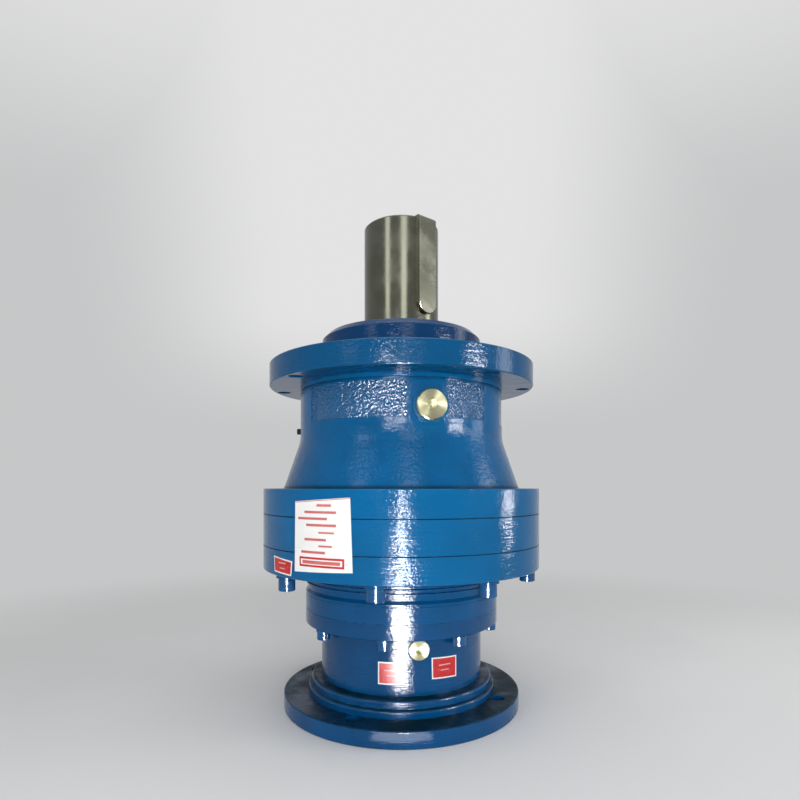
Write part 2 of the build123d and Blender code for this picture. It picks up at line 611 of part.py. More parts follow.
def level_plug():
    """Low round plug with a socket, sunk in a spot face of the adapter."""
    body = turned(
        (0, -12), (LEVEL_D / 2 - 3, -12), (LEVEL_D / 2 - 3, 0), (LEVEL_D / 2, 0), (LEVEL_D / 2, 2.4),
        (LEVEL_D / 2 - 0.8, 3.2), (0, 3.2),
    )
    socket = Pos(0, 0, -2.5) * extrude(RegularPolygon(4, 6, major_radius=False), 8)
    return facing_out(LEVEL_AZ, ADAPTER_BODY_D / 2 - SPOT_DEPTH, LEVEL_Z) * (body - socket)


def side_plug():
    """Small hexagon plug on the left of the neck."""
    stem = drum(SIDE_STEM_D / 2, -12, 0)
    washer = drum(SIDE_PLUG_D / 2, 0, 1.5)
    head = Pos(0, 0, 1.5) * extrude(RegularPolygon(SIDE_PLUG_D / 2 - 1.7, 6, major_radius=False), 4.5)
    return facing_out(SIDE_PLUG_AZ, NECK_D / 2 - SPOT_DEPTH, SIDE_PLUG_Z) * (stem + washer + head)


def lip_seal(size, low, oil_above):
    """Rotary shaft seal: case, web and a lip on the oil side that just clears the shaft."""
    outer_r, width = size[1] / 2, size[2]
    lip_r = size[0] / 2 + SEAL_GAP

    def z(height):
        return low + (width - height if oil_above else height)

    return turned(
        (outer_r, z(0)), (outer_r, z(width)), (lip_r + 1, z(width)), (lip_r, z(width - 1)),
        (lip_r + 1.6, z(width - 2.5)), (lip_r + 1.6, z(4)), (lip_r, z(3)), (lip_r + 2, z(1.2)),
        (lip_r + 4.2, z(1.2)), (lip_r + 4.2, z(width - 3)), (outer_r - 2.2, z(width - 3)), (outer_r - 2.2, z(0)),
    )


# Bearings

def taper_lines(size):
    """Apex distance, roller axis length and the two raceway slopes of a tapered bearing."""
    pitch_r = (size[0] + size[1]) / 4
    depth = pitch_r / math.tan(TAPER_ANGLE)
    reach = pitch_r / math.sin(TAPER_ANGLE)
    spread = math.atan(roller_radius(size) / reach)
    return depth, reach, TAPER_ANGLE - spread, TAPER_ANGLE + spread


def roller_radius(size):
    return 0.27 * (size[1] - size[0]) / 2


def taper_race(size, low, inner, upward):
    """Inner or outer race of a tapered bearing, its raceway opening upwards or downwards."""
    bore_r, outer_r, width = size[0] / 2, size[1] / 2, size[2]
    depth, _, slope_in, slope_out = taper_lines(size)
    half = width / 2

    def in_r(z):
        return (z + depth) * math.tan(slope_in) - ROLLER_GAP

    def out_r(z):
        return (z + depth) * math.tan(slope_out) + ROLLER_GAP

    if inner:
        corners = [
            (bore_r, -half), (in_r(-half) + 1.0, -half), (in_r(-half + 2.5) + 1.0, -half + 2.5),
            (in_r(-half + 2.5), -half + 2.5), (in_r(half - 4), half - 4), (in_r(half - 4) + 3.5, half - 4),
            (in_r(half - 4) + 3.5, half), (bore_r, half),
        ]
    else:
        top = half - 3.0
        corners = [(outer_r, -half), (outer_r, top), (out_r(top), top), (out_r(-half), -half)]
    race = turned(*corners)
    flip = Rot(0, 0, 0) if upward else Rot(180, 0, 0)
    return Pos(0, 0, low + half) * flip * race


def taper_rollers(size, low, upward):
    """Rollers and cage of a tapered bearing."""
    width = size[2]
    _, reach, slope_in, slope_out = taper_lines(size)
    spread = (slope_out - slope_in) / 2
    length = width - 11.0
    near = reach - length / 2 - 0.6
    far = near + length

    def roller(extra):
        return Cone(
            near * math.tan(spread) + extra, far * math.tan(spread) + extra, far - near + 2 * extra,
            align=(Align.CENTER, Align.CENTER, Align.CENTER))

    pitch_r = (size[0] + size[1]) / 4
    tilt = Rot(math.degrees(TAPER_ANGLE), 0, 0)
    mid = (near + far) / 2 - reach
    place = Pos(0, -pitch_r, 0) * tilt * Pos(0, 0, mid)
    rollers = [Rot(0, 0, 360 * k / TAPER_ROLLERS) * place * roller(0) for k in range(TAPER_ROLLERS)]
    pockets = [Rot(0, 0, 360 * k / TAPER_ROLLERS) * place * roller(0.2) for k in range(TAPER_ROLLERS)]
    slope = math.tan(TAPER_ANGLE)
    cage_half = length / 2 + 1.8
    cage = turned(
        (pitch_r - 0.2 - cage_half * slope, -cage_half), (pitch_r + 1.6 - cage_half * slope, -cage_half),
        (pitch_r + 1.6 + cage_half * slope, cage_half), (pitch_r - 0.2 + cage_half * slope, cage_half),
    ) - pockets
    flip = Rot(0, 0, 0) if upward else Rot(180, 0, 0)
    return Pos(0, 0, low + width / 2) * flip * group([*rollers, cage])


def ball_race(size, low, inner):
    """Grooved race of the input ball bearing."""
    bore_r, outer_r, width = size[0] / 2, size[1] / 2, size[2]
    pitch_r = (bore_r + outer_r) / 2
    if inner:
        ring = band(pitch_r - BALL_D * 0.32, bore_r, low, low + width)
    else:
        ring = band(outer_r, pitch_r + BALL_D * 0.32, low, low + width)
    return ring - Pos(0, 0, low + width / 2) * Torus(pitch_r, BALL_D / 2 + ROLLER_GAP)


def ball_set(size, low):
    """Balls and cage of the input ball bearing."""
    pitch_r = (size[0] + size[1]) / 4
    mid = low + size[2] / 2
    balls = ring_of(Pos(0, 0, mid) * Sphere(BALL_D / 2), BALLS, 0, pitch_r)
    pockets = ring_of(Pos(0, 0, mid) * Sphere(BALL_D / 2 + 0.2), BALLS, 0, pitch_r)
    cage = band(pitch_r + 1.2, pitch_r - 1.2, mid - BALL_D * 0.6, mid + BALL_D * 0.6) - pockets
    return group([*balls, cage])


def needle_cage(pin_d, needle_d, low, high, place):
    """Needles and cage between a pin and a planet bore."""
    pin_r = pin_d / 2
    mid_r = pin_r + needle_d / 2
    gap = ROLLER_GAP
    needle = drum(needle_d / 2 - gap, low + 2.2, high - 2.2)
    pocket = drum(needle_d / 2 - gap + 0.15, low + 2.0, high - 2.0)
    cage = band(mid_r + 0.2 * needle_d, mid_r - 0.2 * needle_d, low, high)
    cage = cage - ring_of(pocket, NEEDLES, 0, mid_r)
    return place * group([*ring_of(needle, NEEDLES, 0, mid_r), cage])


# Gear pieces

def planet_place(centres, k):
    angle = planet_angle(k)
    return Pos(*polar(centres, angle), 0)


def planet_gear(teeth, sun_teeth, module, pin_d, needle_d, low, width, centres, k):
    turn = planet_turn(planet_angle(k), sun_teeth, teeth)
    blank = toothed_bar(teeth, module, -TOOTH_SHIFT, low, low + width, turn)
    bore = drum(pin_d / 2 + needle_d, low - 1, low + width + 1)
    return planet_place(centres, k) * (blank - bore)


def carrier_bridges(centres, planet_r, low, high, width, outer_r):
    """Pillars that join a carrier's two cheeks between the planets."""
    inner_r = centres * math.cos(math.pi / PLANETS) + planet_r * 0.55
    bridges = []
    for k in range(PLANETS):
        block = Pos((inner_r + outer_r) / 2, 0, (low + high) / 2) * Box(outer_r - inner_r, width, high - low)
        bridges.append(Rot(0, 0, math.degrees(planet_angle(k + 0.5))) * block)
    return bridges


def carrier_1():
    outer_r = CHEEK_1_D / 2
    low = Z_CHEEK_1_TOP - CHEEK_1_LOW
    planet_r = MODULE_1 * PLANET_1_TEETH / 2
    sun_room = MODULE_1 * (SUN_1_TEETH / 2 + 1.6)
    seat_r = MODULE_2 * SUN_2_TEETH * 0.3
    cheeks = band(outer_r, sun_room, low, Z_CHEEK_1_TOP, EDGE)
    cheeks = cheeks + band(outer_r, seat_r, Z_CHEEK_1_ROOF, Z_CARRIER_1, EDGE)
    cheeks = cheeks + band(SPLINE_HUB_D / 2, seat_r, Z_CARRIER_1 - 1, Z_SPLINE_HUB, EDGE)
    bridges = carrier_bridges(CENTRES_1, planet_r, low + 1, Z_CARRIER_1 - 1, BRIDGE_1_W, outer_r - 0.5)
    trim = drum(outer_r, low - 1, Z_SPLINE_HUB + 1)
    spline = toothed_bar(
        SUN_2_TEETH, MODULE_2, TOOTH_SHIFT, Z_SUN_2, Z_SPLINE_HUB + 1, play=FLANK_PLAY / 2 - LOCATION, room=0.3)
    return ((cheeks + bridges) & trim) - pins(CENTRES_1, PIN_1_D, low - 1, Z_CARRIER_1 + 1) - spline


def output_carrier():
    outer_r = CHEEK_2_D / 2
    low = Z_CHEEK_2_TOP - CHEEK_2_LOW
    planet_r = MODULE_2 * PLANET_2_TEETH / 2
    sun_room = MODULE_2 * (SUN_2_TEETH / 2 + 2.2)
    spline_r = CARRIER_SPLINE_MODULE * CARRIER_SPLINE_TEETH / 2
    cheeks = band(outer_r, sun_room, low, Z_CHEEK_2_TOP, EDGE)
    cheeks = cheeks + band(outer_r, spline_r * 0.8, Z_CHEEK_2_ROOF, Z_CARRIER_2, EDGE)
    bridges = carrier_bridges(CENTRES_2, planet_r, low + 1, Z_CARRIER_2 - 1, BRIDGE_2_W, outer_r - 0.5)
    trim = drum(outer_r, low - 1, Z_CARRIER_2 + 1)
    recess = drum(RETAINER_D / 2 + 0.3, Z_CHEEK_2_ROOF - 1, Z_SHAFT_FOOT)
    spline = toothed_bar(
        CARRIER_SPLINE_TEETH, CARRIER_SPLINE_MODULE, 0, Z_SHAFT_FOOT - 1, Z_CARRIER_2 + 1, play=-LOCATION, room=0.3)
    return ((cheeks + bridges) & trim) - pins(CENTRES_2, PIN_2_D, low - 1, Z_CARRIER_2 + 1) - recess - spline


def pins(centres, diameter, low, high, bevel=0.0):
    """One upright pin for each planet."""
    return [planet_place(centres, k) * drum(diameter / 2, low, high, bevel) for k in range(PLANETS)]


def thrust_washers(centres, pin_d, needle_d, heights, thickness):
    """Washers on the cheeks, above and below each planet."""
    outer_r = pin_d / 2 + 1.6 * needle_d
    washer = [band(outer_r, pin_d / 2, z, z + thickness) for z in heights]
    return [planet_place(centres, k) * w for k in range(PLANETS) for w in washer]


def sun_2():
    top = Z_GEAR_2 + GEAR_2_W - 1
    tip_r = MODULE_2 * (SUN_2_TEETH / 2 + 1 + TOOTH_SHIFT)
    bar = toothed_bar(SUN_2_TEETH, MODULE_2, TOOTH_SHIFT, Z_SUN_2, top)
    bar = bar & drum(tip_r + 0.01, Z_SUN_2, top, SUN_BEVEL)
    return bar - drum(BUTTON_STEM_D / 2, top - BUTTON_STEM_L, top + 1)


def sun_1():
    low = Z_GEAR_1 - 1
    top = Z_GEAR_1 + GEAR_1_W - 1
    tip_r = MODULE_1 * (SUN_1_TEETH / 2 + 1 + TOOTH_SHIFT)
    bar = toothed_bar(SUN_1_TEETH, MODULE_1, TOOTH_SHIFT, low, top)
    bar = bar & drum(tip_r + 0.01, low, top, SUN_BEVEL)
    stem = drum(STEM_D / 2, stem_foot(), low + 1)
    return bar + stem - drum(BUTTON_STEM_D / 2, top - BUTTON_STEM_L, top + 1)


def stem_foot():
    return Z_INPUT_FOOT + MOTOR_SHAFT_L + 2


def thrust_button(seat, top):
    """Button pressed into the end of a sun gear, which keeps it off the next rotor."""
    return drum(BUTTON_STEM_D / 2, seat - BUTTON_STEM_L, seat) + drum(BUTTON_D / 2, seat, top, 0.4)


# Output shaft

def key_outline(length):
    """Key from its rounded lower end up to its square upper end."""
    straight = Pos(0, (length + KEY_W / 2) / 2) * Rectangle(KEY_W, length - KEY_W / 2)
    return straight + Pos(0, KEY_W / 2) * Circle(KEY_W / 2)


def shaft_key():
    key = extrude(key_outline(KEY_L), KEY_H)
    upper_end = key.faces().sort_by(Axis.Z)[-1].edges().sort_by(Axis.Y)[-1]
    key = chamfer(upper_end, KEY_END_BEVEL)
    key = chamfer(key.faces().sort_by(Axis.Z)[-1].edges(), 0.6)
    return facing_out(KEY_AZ, SHAFT_D / 2 - KEY_SEAT, Z_END - KEY_L) * key


def output_shaft():
    shaft_r = SHAFT_D / 2
    collar_r = COLLAR_D / 2
    seat_high_r = BEARING_HIGH[0] / 2
    seat_low_r = BEARING_LOW[0] / 2
    z_collar = Z_BEARING_HIGH + BEARING_HIGH[2]
    z_step = Z_BEARING_LOW + BEARING_LOW[2] + BEARING_SPREAD / 3
    z_collar_top = Z_TOP - SEAL_HIGH_DROP
    thread_r = seat_low_r - 1
    relief_r = CARRIER_SPLINE_MODULE * (CARRIER_SPLINE_TEETH / 2 - 1.5)
    body = turned(
        (0, Z_SHAFT_FOOT), (relief_r, Z_SHAFT_FOOT), (relief_r, Z_CARRIER_2 + 2), (thread_r, Z_CARRIER_2 + 3),
        (thread_r, Z_BEARING_LOW), (seat_low_r, Z_BEARING_LOW), (seat_low_r, z_step), (seat_high_r, z_step + 2),
        (seat_high_r, z_collar), (collar_r, z_collar), (collar_r, z_collar_top - 1), (collar_r - 1, z_collar_top),
        (shaft_r, z_collar_top), (shaft_r, Z_END - SHAFT_BEVEL), (shaft_r - SHAFT_BEVEL, Z_END),
        (CENTRE_HOLE_D / 2 + 2, Z_END), (CENTRE_HOLE_D / 2, Z_END - 2), (CENTRE_HOLE_D / 2, Z_END - CENTRE_HOLE_L),
        (0, Z_END - CENTRE_HOLE_L - CENTRE_HOLE_D / 3),
    )
    spline = toothed_bar(
        CARRIER_SPLINE_TEETH, CARRIER_SPLINE_MODULE, 0, Z_SHAFT_FOOT, Z_CARRIER_2 + 1, play=0)
    key_seat = facing_out(KEY_AZ, shaft_r - KEY_SEAT, Z_END - KEY_L) * extrude(key_outline(KEY_L + 1), KEY_H)
    screw_holes = ring_of(
        drum(RETAINER_SCREW_D / 2, Z_SHAFT_FOOT - 1, Z_SHAFT_FOOT + 20), RETAINER_SCREWS, 0, RETAINER_D / 4)
    return body + spline - key_seat - screw_holes


def countersunk_screw():
    """Flush screw that holds the retaining plate, pointing up."""
    screw_r = RETAINER_SCREW_D / 2
    top = Z_SHAFT_FOOT + 16
    body = turned(
        (0, Z_CHEEK_2_ROOF), (2 * screw_r, Z_CHEEK_2_ROOF), (screw_r, Z_SHAFT_FOOT), (screw_r, top), (0, top))
    socket = Pos(0, 0, Z_CHEEK_2_ROOF) * extrude(RegularPolygon(screw_r * 0.6, 6, major_radius=False), 2.4)
    return body - socket


def retaining_plate():
    plate = drum(RETAINER_D / 2, Z_CHEEK_2_ROOF, Z_SHAFT_FOOT, 0.5)
    screw_r = RETAINER_SCREW_D / 2
    seat = turned(
        (0, Z_CHEEK_2_ROOF), (2 * screw_r, Z_CHEEK_2_ROOF), (screw_r, Z_SHAFT_FOOT), (0, Z_SHAFT_FOOT))
    return plate - ring_of(seat, RETAINER_SCREWS, 0, RETAINER_D / 4)


def bearing_spacer():
    low = Z_BEARING_LOW + BEARING_LOW[2]
    return band(BEARING_HIGH[0] / 2 + 7, BEARING_HIGH[0] / 2 + LOCATION, low, Z_BEARING_HIGH, 1.0)


def lock_nut():
    nut = band(NUT_D / 2, BEARING_LOW[0] / 2 - 1, Z_NUT, Z_NUT + NUT_H, 1.0)
    slot = Pos(0, 0, Z_NUT + NUT_H / 2) * Box(10, 8, 2 * NUT_H)
    return nut - ring_of(slot, 4, 0, NUT_D / 2)


def tab_washer():
    low = Z_NUT + NUT_H
    washer = band(BEARING_LOW[0] / 2 + 9, BEARING_LOW[0] / 2 - 1, low, low + TAB_WASHER_T)
    notch = Pos(0, 0, low + TAB_WASHER_T / 2) * Box(5, 6, 3 * TAB_WASHER_T)
    return washer - ring_of(notch, 12, 15, BEARING_LOW[0] / 2 + 9)


# Input shaft

def input_shaft():
    bearing_r = BALL_BEARING[0] / 2
    bore_r = MOTOR_SHAFT_D / 2
    foot = Z_INPUT_FOOT
    z_bore = foot + MOTOR_SHAFT_L
    top = Z_WEB_TOP + 1
    z_seat = Z_SEAL_LOW + SEAL_LOW[2] + SIDE_GAP
    body = turned(
        (bore_r + 1, foot), (bearing_r - 4.5, foot), (bearing_r - 3.5, foot + 1), (bearing_r - 3.5, WEB_Z - 4),
        (bearing_r, WEB_Z - 2), (bearing_r, z_seat), (SHOULDER_D / 2, z_seat), (SHOULDER_D / 2, Z_BALL_BEARING),
        (bearing_r, Z_BALL_BEARING), (bearing_r, Z_INPUT_CLIP), (bearing_r - 1.5, Z_INPUT_CLIP),
        (bearing_r - 1.5, Z_INPUT_CLIP + CLIP_T), (bearing_r, Z_INPUT_CLIP + CLIP_T), (bearing_r, top),
        (STEM_D / 2, top), (STEM_D / 2, stem_foot()), (0, stem_foot()), (0, z_bore), (bore_r, z_bore),
        (bore_r, foot + 1),
    )
    key_way = Pos(0, -bore_r, (foot + z_bore) / 2) * Box(MOTOR_KEY_W, 2 * MOTOR_KEY_DEPTH, MOTOR_SHAFT_L + 0.001)
    return body - key_way


def spring_clip(outer_r, inner_r, gap):
    """Open retaining ring over a bearing race."""
    ring = band(outer_r, inner_r, Z_INPUT_CLIP, Z_INPUT_CLIP + CLIP_T)
    middle = (outer_r + inner_r) / 2
    return ring - at(180, middle, Z_INPUT_CLIP + CLIP_T / 2) * Box(gap, 2 * (outer_r - inner_r), 2 * CLIP_T)


# Sub-parts

LARGE_HEAD_Z = Z_MID_FLANGE - SCREW_PAD_H - LARGE_WASHER[2]
SMALL_HEAD_Z = Z_ADAPTER_RIM - SMALL_WASHER[2]
CHEEK_1_LOW_Z = Z_CHEEK_1_TOP - CHEEK_1_LOW
CHEEK_2_LOW_Z = Z_CHEEK_2_TOP - CHEEK_2_LOW
SUN_1_TOP = Z_GEAR_1 + GEAR_1_W - 1
SUN_2_TOP = Z_GEAR_2 + GEAR_2_W - 1

nodes = {
    "input_adapter": input_adapter(),
    "ring_gear_1": ring_gear_1(),
    "intermediate_housing": intermediate_housing(),
    "ring_gear_2": ring_gear_2(),
    "output_housing": output_housing(),
    "large_screws": group(ring_of(cap_screw(LARGE_SCREW, LARGE_HEAD_Z), SCREWS, SCREW_AZ, LARGE_CIRCLE_D / 2)),
    "large_spring_washers": group(
        ring_of(spring_washer(LARGE_WASHER, LARGE_HEAD_Z), SCREWS, SCREW_AZ, LARGE_CIRCLE_D / 2)),
    "small_screws": group(ring_of(cap_screw(SMALL_SCREW, SMALL_HEAD_Z), SCREWS, SCREW_AZ, SMALL_CIRCLE_D / 2)),
    "small_spring_washers": group(
        ring_of(spring_washer(SMALL_WASHER, SMALL_HEAD_Z), SCREWS, SCREW_AZ, SMALL_CIRCLE_D / 2)),
    "filler_plug": filler_plug(),
    "filler_sealing_ring": sealing_ring(),
    "level_plug": level_plug(),
    "side_plug": side_plug(),
    "output_seal": lip_seal(SEAL_HIGH, Z_SEAL_HIGH, False),
    "input_seal": lip_seal(SEAL_LOW, Z_SEAL_LOW, True),
    "sealing_rings_small": group(seal_rings(REGISTER_1_R, Z_JOINT_1, Z_JOINT_2)),
    "sealing_rings_large": group(seal_rings(REGISTER_2_R, Z_JOINT_3, Z_JOINT_4)),
    "upper_bearing_outer_race": taper_race(BEARING_HIGH, Z_BEARING_HIGH, False, True),
    "lower_bearing_outer_race": taper_race(BEARING_LOW, Z_BEARING_LOW, False, False),
    "input_bearing_outer_race": ball_race(BALL_BEARING, Z_BALL_BEARING, False),
    "input_bearing_clip": spring_clip(BALL_BEARING[1] / 2 + 1.5, BALL_BEARING[1] / 2 - 3.5, 14),
    "output_shaft": output_shaft(),
    "shaft_key": shaft_key(),
    "output_carrier": output_carrier(),
    "upper_bearing_inner_race": taper_race(BEARING_HIGH, Z_BEARING_HIGH, True, True),
    "lower_bearing_inner_race": taper_race(BEARING_LOW, Z_BEARING_LOW, True, False),
    "bearing_spacer": bearing_spacer(),
    "lock_nut": lock_nut(),
    "tab_washer": tab_washer(),
    "retaining_plate": retaining_plate(),
    "retaining_screws": group(ring_of(countersunk_screw(), RETAINER_SCREWS, 0, RETAINER_D / 4)),
    "planet_pins_2": group(pins(CENTRES_2, PIN_2_D, CHEEK_2_LOW_Z, Z_CARRIER_2, 1.0)),
    "thrust_washers_2": group(thrust_washers(
        CENTRES_2, PIN_2_D, NEEDLE_2_D, (Z_CHEEK_2_TOP, Z_CHEEK_2_ROOF - THRUST_2_T), THRUST_2_T)),
    "carrier_1": carrier_1(),
    "sun_gear_2": sun_2(),
    "thrust_button_2": thrust_button(SUN_2_TOP, Z_CHEEK_2_ROOF - BUTTON_GAP),
    "planet_pins_1": group(pins(CENTRES_1, PIN_1_D, CHEEK_1_LOW_Z, Z_CARRIER_1, 0.6)),
    "thrust_washers_1": group(thrust_washers(
        CENTRES_1, PIN_1_D, NEEDLE_1_D, (Z_CHEEK_1_TOP, Z_CHEEK_1_ROOF - THRUST_1_T), THRUST_1_T)),
    "input_shaft": input_shaft(),
    "sun_gear_1": sun_1(),
    "thrust_button_1": thrust_button(SUN_1_TOP, Z_SUN_2 - BUTTON_GAP),
    "input_bearing_inner_race": ball_race(BALL_BEARING, Z_BALL_BEARING, True),
    "input_shaft_clip": spring_clip(BALL_BEARING[0] / 2 + 2.5, BALL_BEARING[0] / 2 - 1.5, 8),
    "upper_rollers": taper_rollers(BEARING_HIGH, Z_BEARING_HIGH, True),
    "lower_rollers": taper_rollers(BEARING_LOW, Z_BEARING_LOW, False),
    "input_balls": ball_set(BALL_BEARING, Z_BALL_BEARING),
}

for k, letter in enumerate("abc"):
    nodes[f"planet_gear_1{letter}"] = planet_gear(
        PLANET_1_TEETH, SUN_1_TEETH, MODULE_1, PIN_1_D, NEEDLE_1_D, Z_GEAR_1, GEAR_1_W, CENTRES_1, k)
    nodes[f"needles_1{letter}"] = needle_cage(
        PIN_1_D, NEEDLE_1_D, Z_GEAR_1 + SIDE_GAP, Z_GEAR_1 + GEAR_1_W - SIDE_GAP, planet_place(CENTRES_1, k))
    nodes[f"planet_gear_2{letter}"] = planet_gear(
        PLANET_2_TEETH, SUN_2_TEETH, MODULE_2, PIN_2_D, NEEDLE_2_D, Z_GEAR_2, GEAR_2_W, CENTRES_2, k)
    nodes[f"needles_2{letter}"] = needle_cage(
        PIN_2_D, NEEDLE_2_D, Z_GEAR_2 + SIDE_GAP, Z_GEAR_2 + GEAR_2_W - SIDE_GAP, planet_place(CENTRES_2, k))

os.makedirs("parts", exist_ok=True)
for name, shape in nodes.items():
    export_step(shape, f"parts/{name}.step")
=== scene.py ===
import math

import bpy
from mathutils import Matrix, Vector


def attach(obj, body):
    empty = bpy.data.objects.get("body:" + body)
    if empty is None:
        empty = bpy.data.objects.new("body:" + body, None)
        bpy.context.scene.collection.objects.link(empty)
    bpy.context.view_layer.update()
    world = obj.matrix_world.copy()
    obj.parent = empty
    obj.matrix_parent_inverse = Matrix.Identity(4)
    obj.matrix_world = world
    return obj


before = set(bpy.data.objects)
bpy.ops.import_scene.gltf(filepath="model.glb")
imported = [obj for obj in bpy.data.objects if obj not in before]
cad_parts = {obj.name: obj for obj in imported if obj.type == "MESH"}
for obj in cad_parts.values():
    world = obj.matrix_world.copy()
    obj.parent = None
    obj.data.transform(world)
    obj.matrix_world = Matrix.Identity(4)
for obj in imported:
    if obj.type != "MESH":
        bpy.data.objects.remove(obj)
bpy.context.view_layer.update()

# Metres, in the CAD frame: front towards -Y, output shaft up
CAMERA_PLACE = (0.0, -0.621, 0.230)
CAMERA_LENS = 25.65
CAMERA_SENSOR = 36.0
CAMERA_SHIFT = (-0.0016, 0.1075)

# Surroundings: tones that are seen, the fill of light, and the floor, which fades away from the axis
BACKDROP = (0.565, 0.570, 0.575)
BACKDROP_LIGHT = (0.770, 0.770, 0.775)
WORLD_FILL_TONE = (0.96, 0.98, 1.0)
WORLD_FILL = 0.24
FLOOR_TONE = (0.880, 0.880, 0.875)
FLOOR_HALF = 8.0
FLOOR_DROP = 0.0002
FLOOR_FADE = (0.42, 1.10)

# Heights and radii of the casing's parts, as in the CAD
Z_DISC_LOW = 0.146
Z_SEAMS = (0.1705, 0.2020)
Z_CONE = 0.2275
Z_NECK = 0.284
Z_GROOVE = 0.327
Z_OUT_FLANGE = 0.3335
Z_SPIGOT = 0.356
NECK_R = 0.108
PANEL_DEPTH = 0.0007
DISC_R = 0.146
BODY_R = 0.0855

# Zones of the paint: heights between which the adapter's body is rough and between which the faces that look
# up get painted shade, and the radii over which the painted shade at the cone's foot fades out
Z_ROUGH_BODY = (0.037, 0.086)
Z_SHADED_FLANGE = (0.012, 0.033)
Z_SHADED_HUB = (0.100, 0.150)
CONE_SHADE_R = (0.130, 0.138)

# Tones of the paint. The hub's, the adapter's and the spigot's tones are darker as painted shade: for the
# lower parts and the parts under the discs, which get less light, and for the spigot on top. The shade and
# seam tone is the colour of the painted shade in corners and of the dark seams.
HOUSING_TONE = (0.0006, 0.098, 0.262)
RING_TONE = (0.0004, 0.108, 0.280)
HUB_SHADED_TONE = (0.0004, 0.078, 0.226)
ADAPTER_SHADED_TONE = (0.0005, 0.062, 0.190)
SPIGOT_SHADED_TONE = (0.0005, 0.040, 0.130)
PLUG_TONE = (0.020, 0.045, 0.038)
SHADE_AND_SEAM_TONE = (0.003, 0.020, 0.034)
THIN_TONE = (0.030, 0.190, 0.360)

# Relief of the paint and of the casting under it: noise scales per metre, depths and reaches in metres
CAST_SCALE = 430.0
CAST_DEPTH = 0.0019
PEEL_SCALE = 420.0
WAVE_SCALE = 70.0
PEEL_DEPTH = 0.00022
TOOL_MARKS = (60.0, 60.0, 520.0)
ENAMEL_EDGE = 0.0010
# ENAMEL_CORNER and BARE_CORNER are the reaches of the painted shade in corners
ENAMEL_CORNER = 0.0035
BARE_EDGE = 0.0008
BARE_CORNER = 0.004
SEAM_HALF = (0.0004, 0.0007)

# Films that lie on the casing
PAPER = (0.88, 0.88, 0.86)
RED = (0.55, 0.004, 0.006)
FILM_THICKNESS = 0.0002
FILM_GAP = 0.00003
FILM_CELLS = (28, 20)
MM = 1000.0
FILM_SHARP_DEGREES = 40.0


def scaled(tone, factor, lift=0.0):
    return tuple(min(1.0, factor * c + lift) for c in tone)


class Nodes:
    """A node tree built up from small steps. A value is a socket, a number or a colour."""

    def __init__(self, tree):
        self.tree = tree
        tree.nodes.clear()

    def new(self, kind):
        return self.tree.nodes.new("ShaderNode" + kind)

    def link(self, source, target):
        self.tree.links.new(source, target)

    def feed(self, socket, value):
        if isinstance(value, bpy.types.NodeSocket):
            self.link(value, socket)
        elif socket.type == "RGBA":
            socket.default_value = (*value, 1.0)
        else:
            socket.default_value = value

    def math(self, kind, a, b=0.0, clamp=False):
        node = self.new("Math")
        node.operation = kind
        node.use_clamp = clamp
        self.feed(node.inputs[0], a)
        self.feed(node.inputs[1], b)
        return node.outputs[0]

    def plus(self, a, b, clamp=False):
        return self.math("ADD", a, b, clamp)

    def minus(self, a, b, clamp=False):
        return self.math("SUBTRACT", a, b, clamp)

    def times(self, a, b):
        return self.math("MULTIPLY", a, b)

    def larger(self, a, b):
        return self.math("MAXIMUM", a, b)

    def step(self, value, low, high, to_low=0.0, to_high=1.0):
        """A smooth change from to_low at low to to_high at high."""
        node = self.new("MapRange")
        node.interpolation_type = "SMOOTHSTEP"
        self.feed(node.inputs["Value"], value)
        for name, number in (("From Min", low), ("From Max", high), ("To Min", to_low), ("To Max", to_high)):
            node.inputs[name].default_value = number
        return node.outputs[0]

    def between(self, value, low, high, soft):
        """1 from low to high, with soft edges half inside and half outside."""
        above = self.step(value, low - soft, low + soft)
        return self.times(above, self.step(value, high + soft, high - soft))

    def mix(self, share, a, b):
        node = self.new("Mix")
        node.data_type = "RGBA"
        self.feed(node.inputs[0], share)
        self.feed(node.inputs[6], a)
        self.feed(node.inputs[7], b)
        return node.outputs[2]

    def mix_shaders(self, share, a, b):
        node = self.new("MixShader")
        self.link(share, node.inputs[0])
        self.link(a, node.inputs[1])
        self.link(b, node.inputs[2])
        return node.outputs[0]

    def split(self, vector):
        node = self.new("SeparateXYZ")
        self.link(vector, node.inputs[0])
        return node.outputs

    def seen(self):
        """1 for rays that show a thing, straight or through a mirror or glass, and 0 for light."""
        path = self.new("LightPath")
        share = self.larger(path.outputs["Is Camera Ray"], path.outputs["Is Glossy Ray"])
        return self.larger(share, path.outputs["Is Transmission Ray"])


